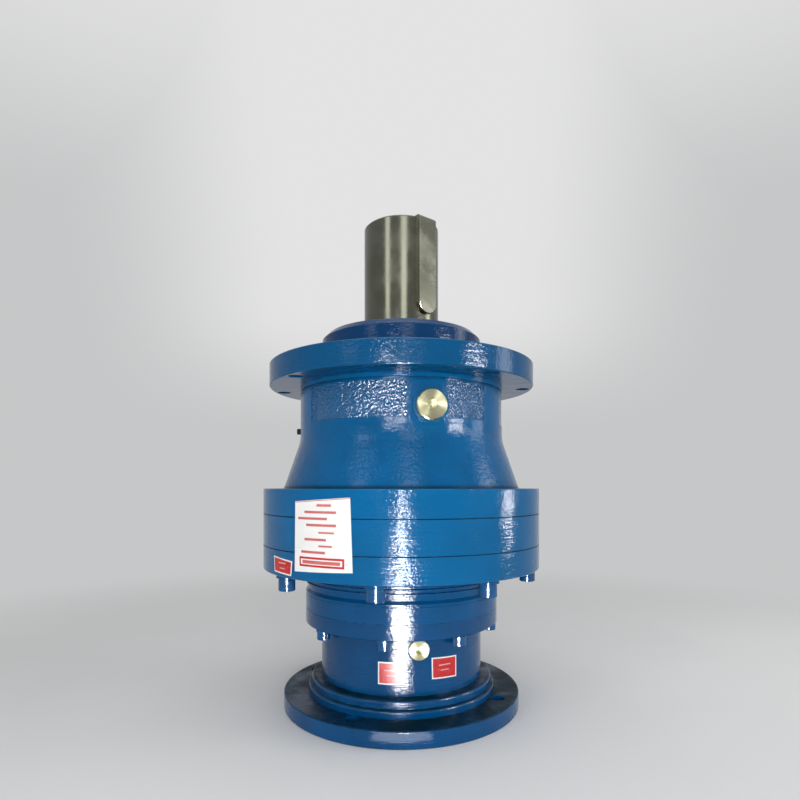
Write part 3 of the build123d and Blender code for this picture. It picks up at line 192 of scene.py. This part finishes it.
class Shader(Nodes):
    """A material. Places are object coordinates, in metres."""

    def __init__(self, name):
        self.material = bpy.data.materials.new(name)
        self.material.use_nodes = True
        super().__init__(self.material.node_tree)
        self.output = self.new("OutputMaterial")
        self.bsdf = self.new("BsdfPrincipled")
        self.link(self.bsdf.outputs[0], self.output.inputs["Surface"])
        self.place = self.new("TexCoord").outputs["Object"]

    def set(self, name, value):
        self.feed(self.bsdf.inputs[name], value)

    def noise(self, scale, detail=2.0, roughness=0.5):
        node = self.new("TexNoise")
        node.inputs["Scale"].default_value = scale
        node.inputs["Detail"].default_value = detail
        node.inputs["Roughness"].default_value = roughness
        self.link(self.place, node.inputs["Vector"])
        return node.outputs[0]

    def lines(self, stretch, detail, roughness):
        """Noise with its own scale along each axis, which draws it out into lines."""
        place = self.new("VectorMath")
        place.operation = "MULTIPLY"
        self.link(self.place, place.inputs[0])
        place.inputs[1].default_value = stretch
        node = self.new("TexNoise")
        node.inputs["Scale"].default_value = 1.0
        node.inputs["Detail"].default_value = detail
        node.inputs["Roughness"].default_value = roughness
        self.link(place.outputs[0], node.inputs["Vector"])
        return node.outputs[0]

    def cells(self, scale):
        node = self.new("TexVoronoi")
        node.inputs["Scale"].default_value = scale
        self.link(self.place, node.inputs["Vector"])
        return node.outputs["Distance"]

    def height(self):
        return self.split(self.place)[2]

    def radius(self):
        x, y, _ = self.split(self.place)
        return self.math("SQRT", self.plus(self.times(x, x), self.times(y, y)))

    def edges(self, width):
        """1 on sharp outer and inner edges, 0 on flat ground."""
        bevel = self.new("Bevel")
        bevel.samples = 4
        bevel.inputs["Radius"].default_value = width
        dot = self.new("VectorMath")
        dot.operation = "DOT_PRODUCT"
        self.link(bevel.outputs[0], dot.inputs[0])
        self.link(self.new("NewGeometry").outputs["Normal"], dot.inputs[1])
        return self.step(dot.outputs["Value"], 0.97, 0.80)

    def crevices(self, reach):
        """1 in corners and grooves, 0 in the open."""
        node = self.new("AmbientOcclusion")
        node.samples = 4
        node.only_local = False
        node.inputs["Distance"].default_value = reach
        return self.step(node.outputs["AO"], 0.75, 0.25)

    def bump(self, height, distance, normal=None):
        node = self.new("Bump")
        node.inputs["Strength"].default_value = 1.0
        node.inputs["Distance"].default_value = distance
        self.link(height, node.inputs["Height"])
        if normal is not None:
            self.link(normal, node.inputs["Normal"])
        return node.outputs[0]

    def brushed(self, axis, amount):
        """Highlights drawn out by tool marks that run round the axis."""
        tangent = self.new("Tangent")
        tangent.direction_type = "RADIAL"
        tangent.axis = axis
        self.link(tangent.outputs[0], self.bsdf.inputs["Tangent"])
        self.set("Anisotropic", amount)
        self.set("Anisotropic Rotation", 0.25)


# Enamel

def no_painted_shade(s):
    return 0.0


def enamel_tone(s, z, base):
    """The paint's cloudy tone, with the discs in a tone of their own and the output flange and the spigot
    darkened as painted shade.
    """
    cloud = s.step(s.noise(9.0, 3.0, 0.55), 0.32, 0.68)
    blotch = s.step(s.noise(55.0, 3.0, 0.6), 0.50, 0.72)
    tone = s.mix(cloud, scaled(base, 0.86), scaled(base, 1.14))
    tone = s.mix(s.times(blotch, 0.30), tone, scaled(base, 0.70))
    disc = s.times(s.step(z, Z_DISC_LOW - 0.0005, Z_DISC_LOW), s.step(z, Z_CONE + 0.0005, Z_CONE))
    tone = s.mix(disc, tone, s.mix(cloud, scaled(RING_TONE, 0.9), scaled(RING_TONE, 1.1)))
    # Painted shade: the output flange is darkened, and the spigot above it darker still.
    tone = s.mix(s.step(z, Z_OUT_FLANGE - 0.001, Z_OUT_FLANGE, 0.0, 0.8), tone, scaled(HOUSING_TONE, 0.66))
    return s.mix(s.step(z, Z_SPIGOT, Z_SPIGOT + 0.001), tone, SPIGOT_SHADED_TONE)


def enamel_shade_and_seams(s, z, painted_shade):
    """Painted shade in corners, made patchy, and dark seams between the discs, with the painted shade that
    the given function adds.
    """
    patchy = s.step(s.noise(120.0, 3.0), 0.25, 0.60, 0.15, 0.45)
    # Painted shade in corners and grooves, found by occlusion and made patchy.
    dirt_and_shade = s.larger(s.times(s.crevices(ENAMEL_CORNER), patchy), painted_shade(s))
    full, none = SEAM_HALF
    for seam in Z_SEAMS:
        off = s.math("ABSOLUTE", s.minus(z, seam))
        dirt_and_shade = s.larger(dirt_and_shade, s.step(off, none, full, 0.0, 0.85))
    return dirt_and_shade


def enamel(name, base, cast, painted_shade=no_painted_shade, peel=1.0, wear=1.0, turned=0.0, shine=0.16):
    """Glossy enamel. cast gives the share of rough casting and the shade function the share of painted shade.
    turned is the depth in metres of the tool marks under the paint, which stretch its highlights."""
    s = Shader(name)
    z = s.height()
    rough = cast(s)
    very_rough = s.step(rough, 0.4, 0.7)
    pits = s.cells(CAST_SCALE)
    tone = enamel_tone(s, z, base)
    # Painted shade in the casting's pits, which are darkened a little.
    tone = s.mix(s.times(rough, s.step(pits, 0.30, 0.10, 0.0, 0.10)), tone, scaled(base, 0.6))
    tone = s.mix(very_rough, tone, scaled(base, 0.90))
    dirt_and_shade = enamel_shade_and_seams(s, z, painted_shade)
    # Painted shade in corners, at the cone's foot and on faces that look up, and the dark seams between the
    # discs.
    tone = s.mix(dirt_and_shade, tone, SHADE_AND_SEAM_TONE)
    thin = s.step(s.noise(160.0, 4.0, 0.7), 0.42, 0.62, 0.0, 0.55 * wear)
    thin = s.times(s.edges(ENAMEL_EDGE), thin)
    s.set("Base Color", s.mix(thin, tone, THIN_TONE))

    worn = s.times(s.step(s.noise(70.0, 4.0, 0.6), 0.35, 0.70), 0.07)
    gloss = s.plus(s.plus(worn, 0.09), s.times(dirt_and_shade, 0.25))
    gloss = s.minus(gloss, s.times(rough, 0.04))
    s.set("Roughness", s.plus(gloss, s.times(thin, 0.15)))
    level = s.plus(s.times(very_rough, 0.30), shine)
    s.set("Specular IOR Level", s.times(level, s.minus(1.0, s.times(dirt_and_shade, 0.93))))

    waves = s.times(s.noise(WAVE_SCALE), 1.6)
    relief = s.bump(s.plus(s.noise(PEEL_SCALE), waves), PEEL_DEPTH * peel)
    if turned:
        s.brushed("Z", 0.5)
        relief = s.bump(s.lines(TOOL_MARKS, 2.0, 0.5), turned, relief)
    casting = s.plus(s.times(s.noise(CAST_SCALE), 0.9), s.times(pits, 0.55))
    s.set("Normal", s.bump(s.times(casting, rough), CAST_DEPTH, relief))
    return s.material


def cast_none(s):
    return s.step(s.noise(14.0), 0.45, 0.75, 0.0, 0.04)


def cast_housing(s):
    """Rough on the cone, roughest in the neck's panels, smooth where it's turned."""
    z = s.height()
    cone = s.times(s.step(z, Z_CONE + 0.003, Z_CONE + 0.009), s.step(z, Z_NECK + 0.004, Z_NECK - 0.002))
    neck = s.times(s.step(z, Z_NECK + 0.003, Z_NECK + 0.005), s.step(z, Z_GROOVE, Z_GROOVE - 0.001))
    half_deep = NECK_R - PANEL_DEPTH / 2
    sunk = s.times(neck, s.step(s.radius(), half_deep + 0.0001, half_deep - 0.0001))
    patchy = s.step(s.noise(45.0, 3.0, 0.6), 0.40, 0.62, 0.06, 0.17)
    share = s.plus(s.times(cone, patchy), s.times(neck, 0.05))
    return s.plus(share, s.times(sunk, 0.85), clamp=True)


def cast_adapter(s):
    z = s.height()
    low, high = Z_ROUGH_BODY
    body = s.times(s.step(z, low - 0.003, low), s.step(z, high + 0.003, high))
    return s.times(body, s.step(s.noise(30.0), 0.35, 0.70, 0.02, 0.07))


def cast_hub(s):
    below_disc = s.step(s.height(), Z_DISC_LOW + 0.001, Z_DISC_LOW - 0.001)
    return s.times(below_disc, s.step(s.noise(30.0), 0.35, 0.70, 0.02, 0.08))


# Painted shade at the cone's foot, where it meets the large disc.
def cone_foot_shade(s):
    z = s.height()
    inner, outer = CONE_SHADE_R
    foot = s.times(s.step(z, Z_CONE + 0.0045, Z_CONE + 0.0005), s.step(s.radius(), outer, inner))
    return s.times(foot, s.step(z, Z_CONE - 0.001, Z_CONE - 0.0002, 0.0, 0.7))


def shade_on_top(zone, most):
    """Painted shade on the faces that look up, between two heights, made patchy."""
    def painted_shade(s):
        inside = s.between(s.height(), *zone, 0.001)
        lying = s.step(s.split(s.new("NewGeometry").outputs["Normal"])[2], 0.35, 0.85)
        patchy = s.step(s.noise(28.0, 4.0, 0.6), 0.30, 0.62, 0.55 * most, most)
        return s.times(s.times(inside, lying), patchy)
    return painted_shade


# Metal, rubber and plastic

def metal(name, tone, dark, roughness, lines=None, fine=500.0, depth=0.00003, painted_shade=None, faced=False):
    """Bare metal. lines gives the tool marks' noise scale along x, y and z, and a faced piece has them
    round its Y axis."""
    s = Shader(name)
    cloud = s.noise(40.0, 3.0, 0.6)
    marks = s.lines(lines, 3.0, 0.6) if lines else s.noise(fine, 3.0, 0.6)
    colour = s.mix(s.step(cloud, 0.30, 0.70), dark, tone)
    colour = s.mix(s.times(s.step(marks, 0.42, 0.60), 0.22), colour, scaled(tone, 1.25))
    # Painted shade in corners and grooves, made patchy, in the given shade colour or a dark copy of the
    # metal's tone.
    dirt_and_shade = s.times(s.crevices(BARE_CORNER), s.step(s.noise(150.0, 3.0), 0.30, 0.65, 0.25, 0.75))
    colour = s.mix(dirt_and_shade, colour, painted_shade or scaled(tone, 0.12))
    bright = s.times(s.edges(BARE_EDGE), s.step(s.noise(220.0, 3.0), 0.35, 0.60, 0.105, 0.35))
    s.set("Base Color", s.mix(bright, colour, scaled(tone, 1.5, 0.05)))
    s.set("Metallic", 1.0)
    level = s.plus(s.times(s.step(cloud, 0.35, 0.75), 0.10), roughness)
    s.set("Roughness", s.plus(level, s.times(dirt_and_shade, 0.35)))
    s.set("Normal", s.bump(marks, depth))
    if faced:
        s.brushed("Y", 0.85)
    return s.material


def dull(name, tone, dark, roughness, grain, depth):
    """Rubber or plastic."""
    s = Shader(name)
    fine = s.noise(grain, 3.0, 0.6)
    colour = s.mix(s.step(s.noise(60.0, 3.0, 0.6), 0.30, 0.70), dark, tone)
    colour = s.mix(s.times(s.step(fine, 0.50, 0.75), 0.18), colour, scaled(tone, 1.5, 0.03))
    colour = s.mix(s.times(s.edges(BARE_EDGE), 0.25), colour, scaled(tone, 1.8, 0.04))
    s.set("Base Color", colour)
    s.set("Roughness", s.step(fine, 0.2, 0.8, roughness - 0.08, roughness + 0.10))
    s.set("Specular IOR Level", 0.4)
    s.set("Normal", s.bump(fine, depth))
    return s.material


paint_housing = enamel("enamel_rough_cast", HOUSING_TONE, cast_housing, cone_foot_shade, turned=0.00012)
# The adapter's and the hub's darker tones are painted shade, and so is the hub's tone on the small ring and
# the screws.
paint_adapter = enamel("enamel_adapter", ADAPTER_SHADED_TONE, cast_adapter, shade_on_top(Z_SHADED_FLANGE, 0.97),
                       turned=0.00030, shine=0.27)
paint_hub = enamel("enamel_hub", HUB_SHADED_TONE, cast_hub, shade_on_top(Z_SHADED_HUB, 0.5), turned=0.00020, shine=0.20)
paint_large_ring = enamel("enamel_smooth", RING_TONE, cast_none, peel=0.8, turned=0.00020, shine=0.20)
paint_small_ring = enamel("enamel_small_ring", HUB_SHADED_TONE, cast_none, peel=0.8, turned=0.00020, shine=0.24)
paint_screws = enamel("enamel_screws", HUB_SHADED_TONE, cast_none, peel=1.2, wear=1.4, shine=0.45)
paint_plug = enamel("enamel_green_plug", PLUG_TONE, cast_none, peel=0.6)

shaft_steel = metal("turned_shaft_steel", (0.135, 0.137, 0.107), (0.105, 0.106, 0.080), 0.17,
                    (30.0, 30.0, 2600.0), depth=0.00002)
key_steel = metal("drawn_key_steel", (0.225, 0.226, 0.178), (0.165, 0.166, 0.128), 0.25,
                  (2400.0, 2400.0, 60.0), depth=0.00002)
spring_steel = metal("spring_steel_dark", (0.30, 0.33, 0.36), (0.16, 0.20, 0.24), 0.32,
                     (400.0, 400.0, 2600.0))
brass = metal("turned_brass", (0.56, 0.545, 0.36), (0.38, 0.37, 0.22), 0.20,
              (900.0, 900.0, 900.0), painted_shade=(0.06, 0.05, 0.02), faced=True)
copper = metal("soft_copper", (0.62, 0.34, 0.22), (0.42, 0.22, 0.14), 0.34)
bearing = metal("ground_bearing_steel", (0.66, 0.67, 0.69), (0.55, 0.56, 0.58), 0.10,
                (60.0, 60.0, 3800.0), depth=0.000008)
machined = metal("machined_steel_plain", (0.48, 0.49, 0.51), (0.36, 0.37, 0.39), 0.26, (60.0, 60.0, 2400.0))
gear = metal("case_hardened_steel", (0.42, 0.43, 0.45), (0.27, 0.28, 0.31), 0.24, (50.0, 50.0, 1800.0))
iron = metal("cast_carrier_iron", (0.24, 0.24, 0.25), (0.15, 0.15, 0.16), 0.45, fine=380.0, depth=0.0002)
bronze = metal("plain_bronze", (0.62, 0.42, 0.22), (0.46, 0.30, 0.15), 0.30, (80.0, 80.0, 2000.0))
rubber = dull("moulded_rubber", (0.020, 0.020, 0.022), (0.010, 0.010, 0.011), 0.55, 900.0, 0.00005)
plastic = dull("wear_plastic_natural", (0.72, 0.70, 0.64), (0.60, 0.57, 0.50), 0.42, 700.0, 0.00003)

# Which pieces each material dresses
PLANETS = ("1a", "1b", "1c", "2a", "2b", "2c")
RACES = [place + "_bearing_" + side + "_race"
         for place in ("upper", "lower", "input") for side in ("outer", "inner")]
DRESS = {
    paint_housing: ("output_housing",),
    paint_adapter: ("input_adapter",),
    paint_hub: ("intermediate_housing",),
    paint_large_ring: ("ring_gear_2",),
    paint_small_ring: ("ring_gear_1",),
    paint_plug: ("side_plug",),
    paint_screws: ("large_screws", "small_screws", "large_spring_washers", "small_spring_washers"),
    shaft_steel: ("output_shaft",),
    key_steel: ("shaft_key",),
    brass: ("filler_plug", "level_plug"),
    copper: ("filler_sealing_ring",),
    bearing: (*RACES, "upper_rollers", "lower_rollers", "input_balls", *("needles_" + k for k in PLANETS)),
    spring_steel: ("input_bearing_clip", "input_shaft_clip", "tab_washer"),
    machined: ("bearing_spacer", "lock_nut", "retaining_plate", "retaining_screws",
               "planet_pins_1", "planet_pins_2", "input_shaft"),
    gear: ("sun_gear_1", "sun_gear_2", *("planet_gear_" + k for k in PLANETS)),
    iron: ("carrier_1", "output_carrier"),
    bronze: ("thrust_washers_1", "thrust_washers_2"),
    plastic: ("thrust_button_1", "thrust_button_2"),
    rubber: ("output_seal", "input_seal", "sealing_rings_small", "sealing_rings_large"),
}
for material, names in DRESS.items():
    for name in names:
        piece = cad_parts[name]
        if not piece.material_slots:
            piece.data.materials.append(None)
        for slot in piece.material_slots:
            slot.material = material


# Films on the casing

def boxed(s, u, v, left, right, low, high):
    return s.times(s.between(u, left, right, 0.25), s.between(v, low, high, 0.25))


def framed(s, u, v, left, right, low, high, line):
    outer = boxed(s, u, v, left, right, low, high)
    inner = boxed(s, u, v, left + line, right - line, low + line, high - line)
    return s.minus(outer, inner, clamp=True)


# Rules of the large film: left end, right end, lower edge and thickness, in millimetres from its middle
RULES = (
    (-4.0, 11.0, 25.4, 2.2), (-18.0, 16.0, 19.4, 2.2), (-26.0, 7.0, 13.8, 2.2), (-16.0, 16.0, 8.1, 2.2),
    (-2.0, 14.0, 2.0, 1.6), (-18.0, 6.0, -4.5, 2.2), (-2.0, 12.0, -9.7, 1.6), (-22.0, 5.0, -15.6, 2.2),
    (-20.5, 20.0, -24.8, 3.0),
)


def large_marks(s, u, v, a, b):
    """Rules of varied length, an empty frame below them and a thin line along the upper edge."""
    frame_line = framed(s, u, v, -24.3, 23.8, -27.5, -18.8, 1.9)
    top_line = s.times(s.between(b, 0.5, 1.1, 0.25), s.step(v, 0.0, 1.0))
    share = s.plus(frame_line, top_line)
    for left, right, height, thickness in RULES:
        line = boxed(s, u, v, left, right, height, height + thickness)
        share = s.plus(share, s.times(line, 0.86), clamp=True)
    return share


def red_marks(s, u, v, a, b):
    """A red field inside a pale border, with two pale bars."""
    field = s.times(s.step(a, 1.0, 1.4), s.step(b, 1.0, 1.4))
    bars = s.plus(boxed(s, u, v, -6.5, 6.5, 2.2, 3.3), boxed(s, u, v, -4.5, 4.5, -2.6, -1.6))
    return s.minus(field, s.times(bars, 0.45), clamp=True)


def film_material(name, marks):
    """A film. marks(shader, u, v, a, b) gives the share of red, in millimetres: u and v from the film's
    middle, a and b inwards from its nearest side edge and its nearest upper or lower edge."""
    s = Shader(name)
    places = []
    for layer in ("film", "rim"):
        uv = s.new("UVMap")
        uv.uv_map = layer
        places += s.split(uv.outputs[0])[:2]
    worn = s.step(s.noise(260.0, 4.0, 0.7), 0.30, 0.42, 0.88, 1.0)
    colour = s.mix(s.times(marks(s, *places), worn), PAPER, RED)
    stain = s.times(s.step(s.noise(35.0, 4.0, 0.6), 0.48, 0.75), 0.16)
    s.set("Base Color", s.mix(stain, colour, scaled(PAPER, 0.72)))
    s.set("Roughness", s.step(s.noise(200.0, 3.0), 0.3, 0.7, 0.30, 0.42))
    s.set("Specular IOR Level", 0.45)
    s.set("Normal", s.bump(s.noise(90.0, 3.0), 0.00012))
    return s.material


def film_faces(across, up):
    """A closed shell: the outer and inner layers of cells, and the strip round the rim between them."""
    row = across + 1
    layer = row * (up + 1)
    faces = []
    for j in range(up):
        for i in range(across):
            k = j * row + i
            faces.append((k + layer, k + 1 + layer, k + row + 1 + layer, k + row + layer))
            faces.append((k, k + row, k + row + 1, k + 1))
    rim = list(range(row)) + [j * row + across for j in range(1, up + 1)]
    rim += [up * row + i for i in range(across - 1, -1, -1)] + [j * row for j in range(up - 1, 0, -1)]
    for k, n in zip(rim, rim[1:] + rim[:1]):
        faces.append((k, n, n + layer, k + layer))
    return faces


def sticker(name, material, radius, corners):
    """A film that lies on a cylinder round the shaft. A corner is (azimuth in degrees, height), and the
    corners run counter-clockwise from the lower left one."""
    across, up = FILM_CELLS
    (a0, z0), (a1, z1), (a2, z2), (a3, z3) = corners
    middle_a = math.radians((a0 + a1 + a2 + a3) / 4)
    middle_z = (z0 + z1 + z2 + z3) / 4
    width = math.radians(abs(a1 - a0 + a2 - a3) / 2) * radius * MM
    height = abs(z3 - z0 + z2 - z1) / 2 * MM
    points, places, inwards = [], [], []
    for r in (radius + FILM_GAP, radius + FILM_GAP + FILM_THICKNESS):
        for j in range(up + 1):
            for i in range(across + 1):
                u, v = i / across, j / up
                a = math.radians((1 - v) * ((1 - u) * a0 + u * a1) + v * ((1 - u) * a3 + u * a2))
                z = (1 - v) * ((1 - u) * z0 + u * z1) + v * ((1 - u) * z3 + u * z2)
                points.append((r * math.sin(a), -r * math.cos(a), z))
                places.append(((a - middle_a) * radius * MM, (z - middle_z) * MM))
                inwards.append((min(u, 1 - u) * width, min(v, 1 - v) * height))
    mesh = bpy.data.meshes.new(name)
    mesh.from_pydata(points, [], film_faces(across, up))
    mesh.validate()
    film_map = mesh.uv_layers.new(name="film")
    rim_map = mesh.uv_layers.new(name="rim")
    for loop in mesh.loops:
        film_map.data[loop.index].uv = places[loop.vertex_index]
        rim_map.data[loop.index].uv = inwards[loop.vertex_index]
    mesh.materials.append(material)
    for polygon in mesh.polygons:
        polygon.use_smooth = True
    mesh.set_sharp_from_angle(angle=math.radians(FILM_SHARP_DEGREES))
    piece = bpy.data.objects.new(name, mesh)
    bpy.context.scene.collection.objects.link(piece)
    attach(piece, "casing")


large_film = film_material("film_white_ruled", large_marks)
red_film = film_material("film_red_plain", red_marks)

sticker("data_sticker", large_film, DISC_R,
        ((-40.7, 0.1538), (-16.3, 0.1564), (-17.2, 0.2202), (-40.4, 0.2164)))
sticker("red_sticker_side", red_film, DISC_R,
        ((-54.6, 0.1500), (-42.8, 0.1487), (-42.2, 0.1622), (-55.2, 0.1647)))
sticker("red_sticker_left", red_film, BODY_R,
        ((-14.9, 0.0430), (2.3, 0.0430), (2.3, 0.0642), (-14.9, 0.0642)))
sticker("red_sticker_right", red_film, BODY_R,
        ((19.9, 0.0467), (38.5, 0.0455), (38.5, 0.0660), (19.6, 0.0671)))


# Floor and surroundings

def floor_material():
    """A plain pale floor that fades into the backdrop's tone away from the part."""
    s = Shader("plain_pale_floor")
    cloud = s.step(s.noise(3.0, 3.0, 0.5), 0.3, 0.7)
    s.set("Base Color", s.mix(cloud, FLOOR_TONE, scaled(FLOOR_TONE, 0.97)))
    s.set("Roughness", 0.75)
    s.set("Specular IOR Level", 0.15)
    s.set("Normal", s.bump(s.noise(220.0), 0.0001))
    far = s.new("Emission")
    s.feed(far.inputs["Color"], BACKDROP)
    share = s.times(s.seen(), s.step(s.radius(), *FLOOR_FADE))
    s.link(s.mix_shaders(share, s.bsdf.outputs[0], far.outputs[0]), s.output.inputs["Surface"])
    return s.material


def lay_floor():
    mesh = bpy.data.meshes.new("floor")
    corners = [(x * FLOOR_HALF, y * FLOOR_HALF, 0) for x, y in ((-1, -1), (1, -1), (1, 1), (-1, 1))]
    mesh.from_pydata(corners, [], [(0, 1, 2, 3)])
    mesh.materials.append(floor_material())
    floor = bpy.data.objects.new("floor", mesh)
    floor.location.z = -FLOOR_DROP
    bpy.context.scene.collection.objects.link(floor)


def background(w, tone, strength):
    node = w.new("Background")
    w.feed(node.inputs["Color"], tone)
    node.inputs["Strength"].default_value = strength
    return node.outputs[0]


def surround():
    """An even fill of light. The wall that is seen is lightest in the middle and high up, behind the part."""
    world = bpy.data.worlds.new("studio")
    bpy.context.scene.world = world
    world.use_nodes = True
    w = Nodes(world.node_tree)
    x, y, z = w.split(w.new("TexCoord").outputs["Generated"])
    middle = w.step(w.math("ABSOLUTE", x), 0.16, 0.50, 1.0, 0.0)
    high = w.step(z, 0.38, 0.66, 0.0, 0.85)
    light = w.times(w.larger(middle, high), w.step(z, 0.08, 0.30))
    light = w.times(light, w.step(y, 0.30, 0.60))
    wall = background(w, w.mix(light, BACKDROP, BACKDROP_LIGHT), 1.0)
    fill = background(w, WORLD_FILL_TONE, WORLD_FILL)
    w.link(w.mix_shaders(w.seen(), fill, wall), w.new("OutputWorld").inputs["Surface"])


lay_floor()
surround()


# Lamps: name, place, the place they face, width, height and brightness of the face
LAMPS = (
    ("front_panel", (0.0, -1.25, 0.235), (0.0, 0.0, 0.235), 0.055, 0.45, 92.0),
    ("front_high_panel", (0.18, -1.29, 0.94), (0.0, 0.0, 0.44), 0.36, 0.50, 4.4),
    ("top_panel", (0.0, -0.2, 2.2), (0.0, 0.0, 0.0), 1.60, 1.60, 1.6),
    ("right_panel", (1.24, -0.02, 0.50), (0.0, 0.0, 0.30), 0.34, 0.62, 5.5),
    ("left_panel", (-0.86, -0.97, 0.94), (0.0, 0.0, 0.44), 0.28, 0.50, 4.2),
)
# Cards that show in shiny faces and light nothing else
CARDS = (
    ("rim_card", (0.0, -0.160, 0.003), (0.0, -0.160, 1.0), 0.070, 0.055, 7.0),
    ("low_card_near", (0.0, -0.325, 0.003), (0.0, -0.325, 1.0), 0.068, 0.21, 120.0),
    ("low_card_far", (0.0, -0.700, 0.003), (0.0, -0.700, 1.0), 0.180, 0.54, 112.0),
    ("neck_card_right", (1.02, -0.62, 0.47), (0.0, 0.0, 0.30), 0.30, 0.14, 75.0),
    ("neck_card_left", (-0.24, -1.25, 0.47), (0.0, 0.0, 0.30), 0.24, 0.12, 50.0),
    ("disc_card_right", (1.20, -0.06, 0.175), (0.0, 0.0, 0.30), 0.16, 0.07, 60.0),
    ("disc_card_front", (0.0, -1.23, 0.10), (0.0, 0.0, 0.30), 0.08, 0.15, 70.0),
)


def lamp(name, place, target, width, height, brightness):
    """A soft panel that the camera doesn't see."""
    light = bpy.data.lights.new(name, "AREA")
    light.shape = "RECTANGLE"
    light.size = width
    light.size_y = height
    light.energy = brightness * math.pi * width * height
    item = bpy.data.objects.new(name, light)
    item.location = place
    item.rotation_euler = (Vector(target) - Vector(place)).to_track_quat("-Z", "Y").to_euler()
    item.visible_camera = False
    bpy.context.scene.collection.objects.link(item)
    return item


for row in LAMPS:
    lamp(*row)
for row in CARDS:
    lamp(*row).visible_diffuse = False

camera_data = bpy.data.cameras.new("camera")
camera_data.lens = CAMERA_LENS
camera_data.sensor_width = CAMERA_SENSOR
camera_data.sensor_fit = "HORIZONTAL"
camera_data.shift_x, camera_data.shift_y = CAMERA_SHIFT
camera = bpy.data.objects.new("camera", camera_data)
camera.location = CAMERA_PLACE
camera.rotation_euler = (math.radians(90), 0, 0)
bpy.context.scene.collection.objects.link(camera)
bpy.context.scene.camera = camera
bpy.context.scene.view_settings.view_transform = "Standard"
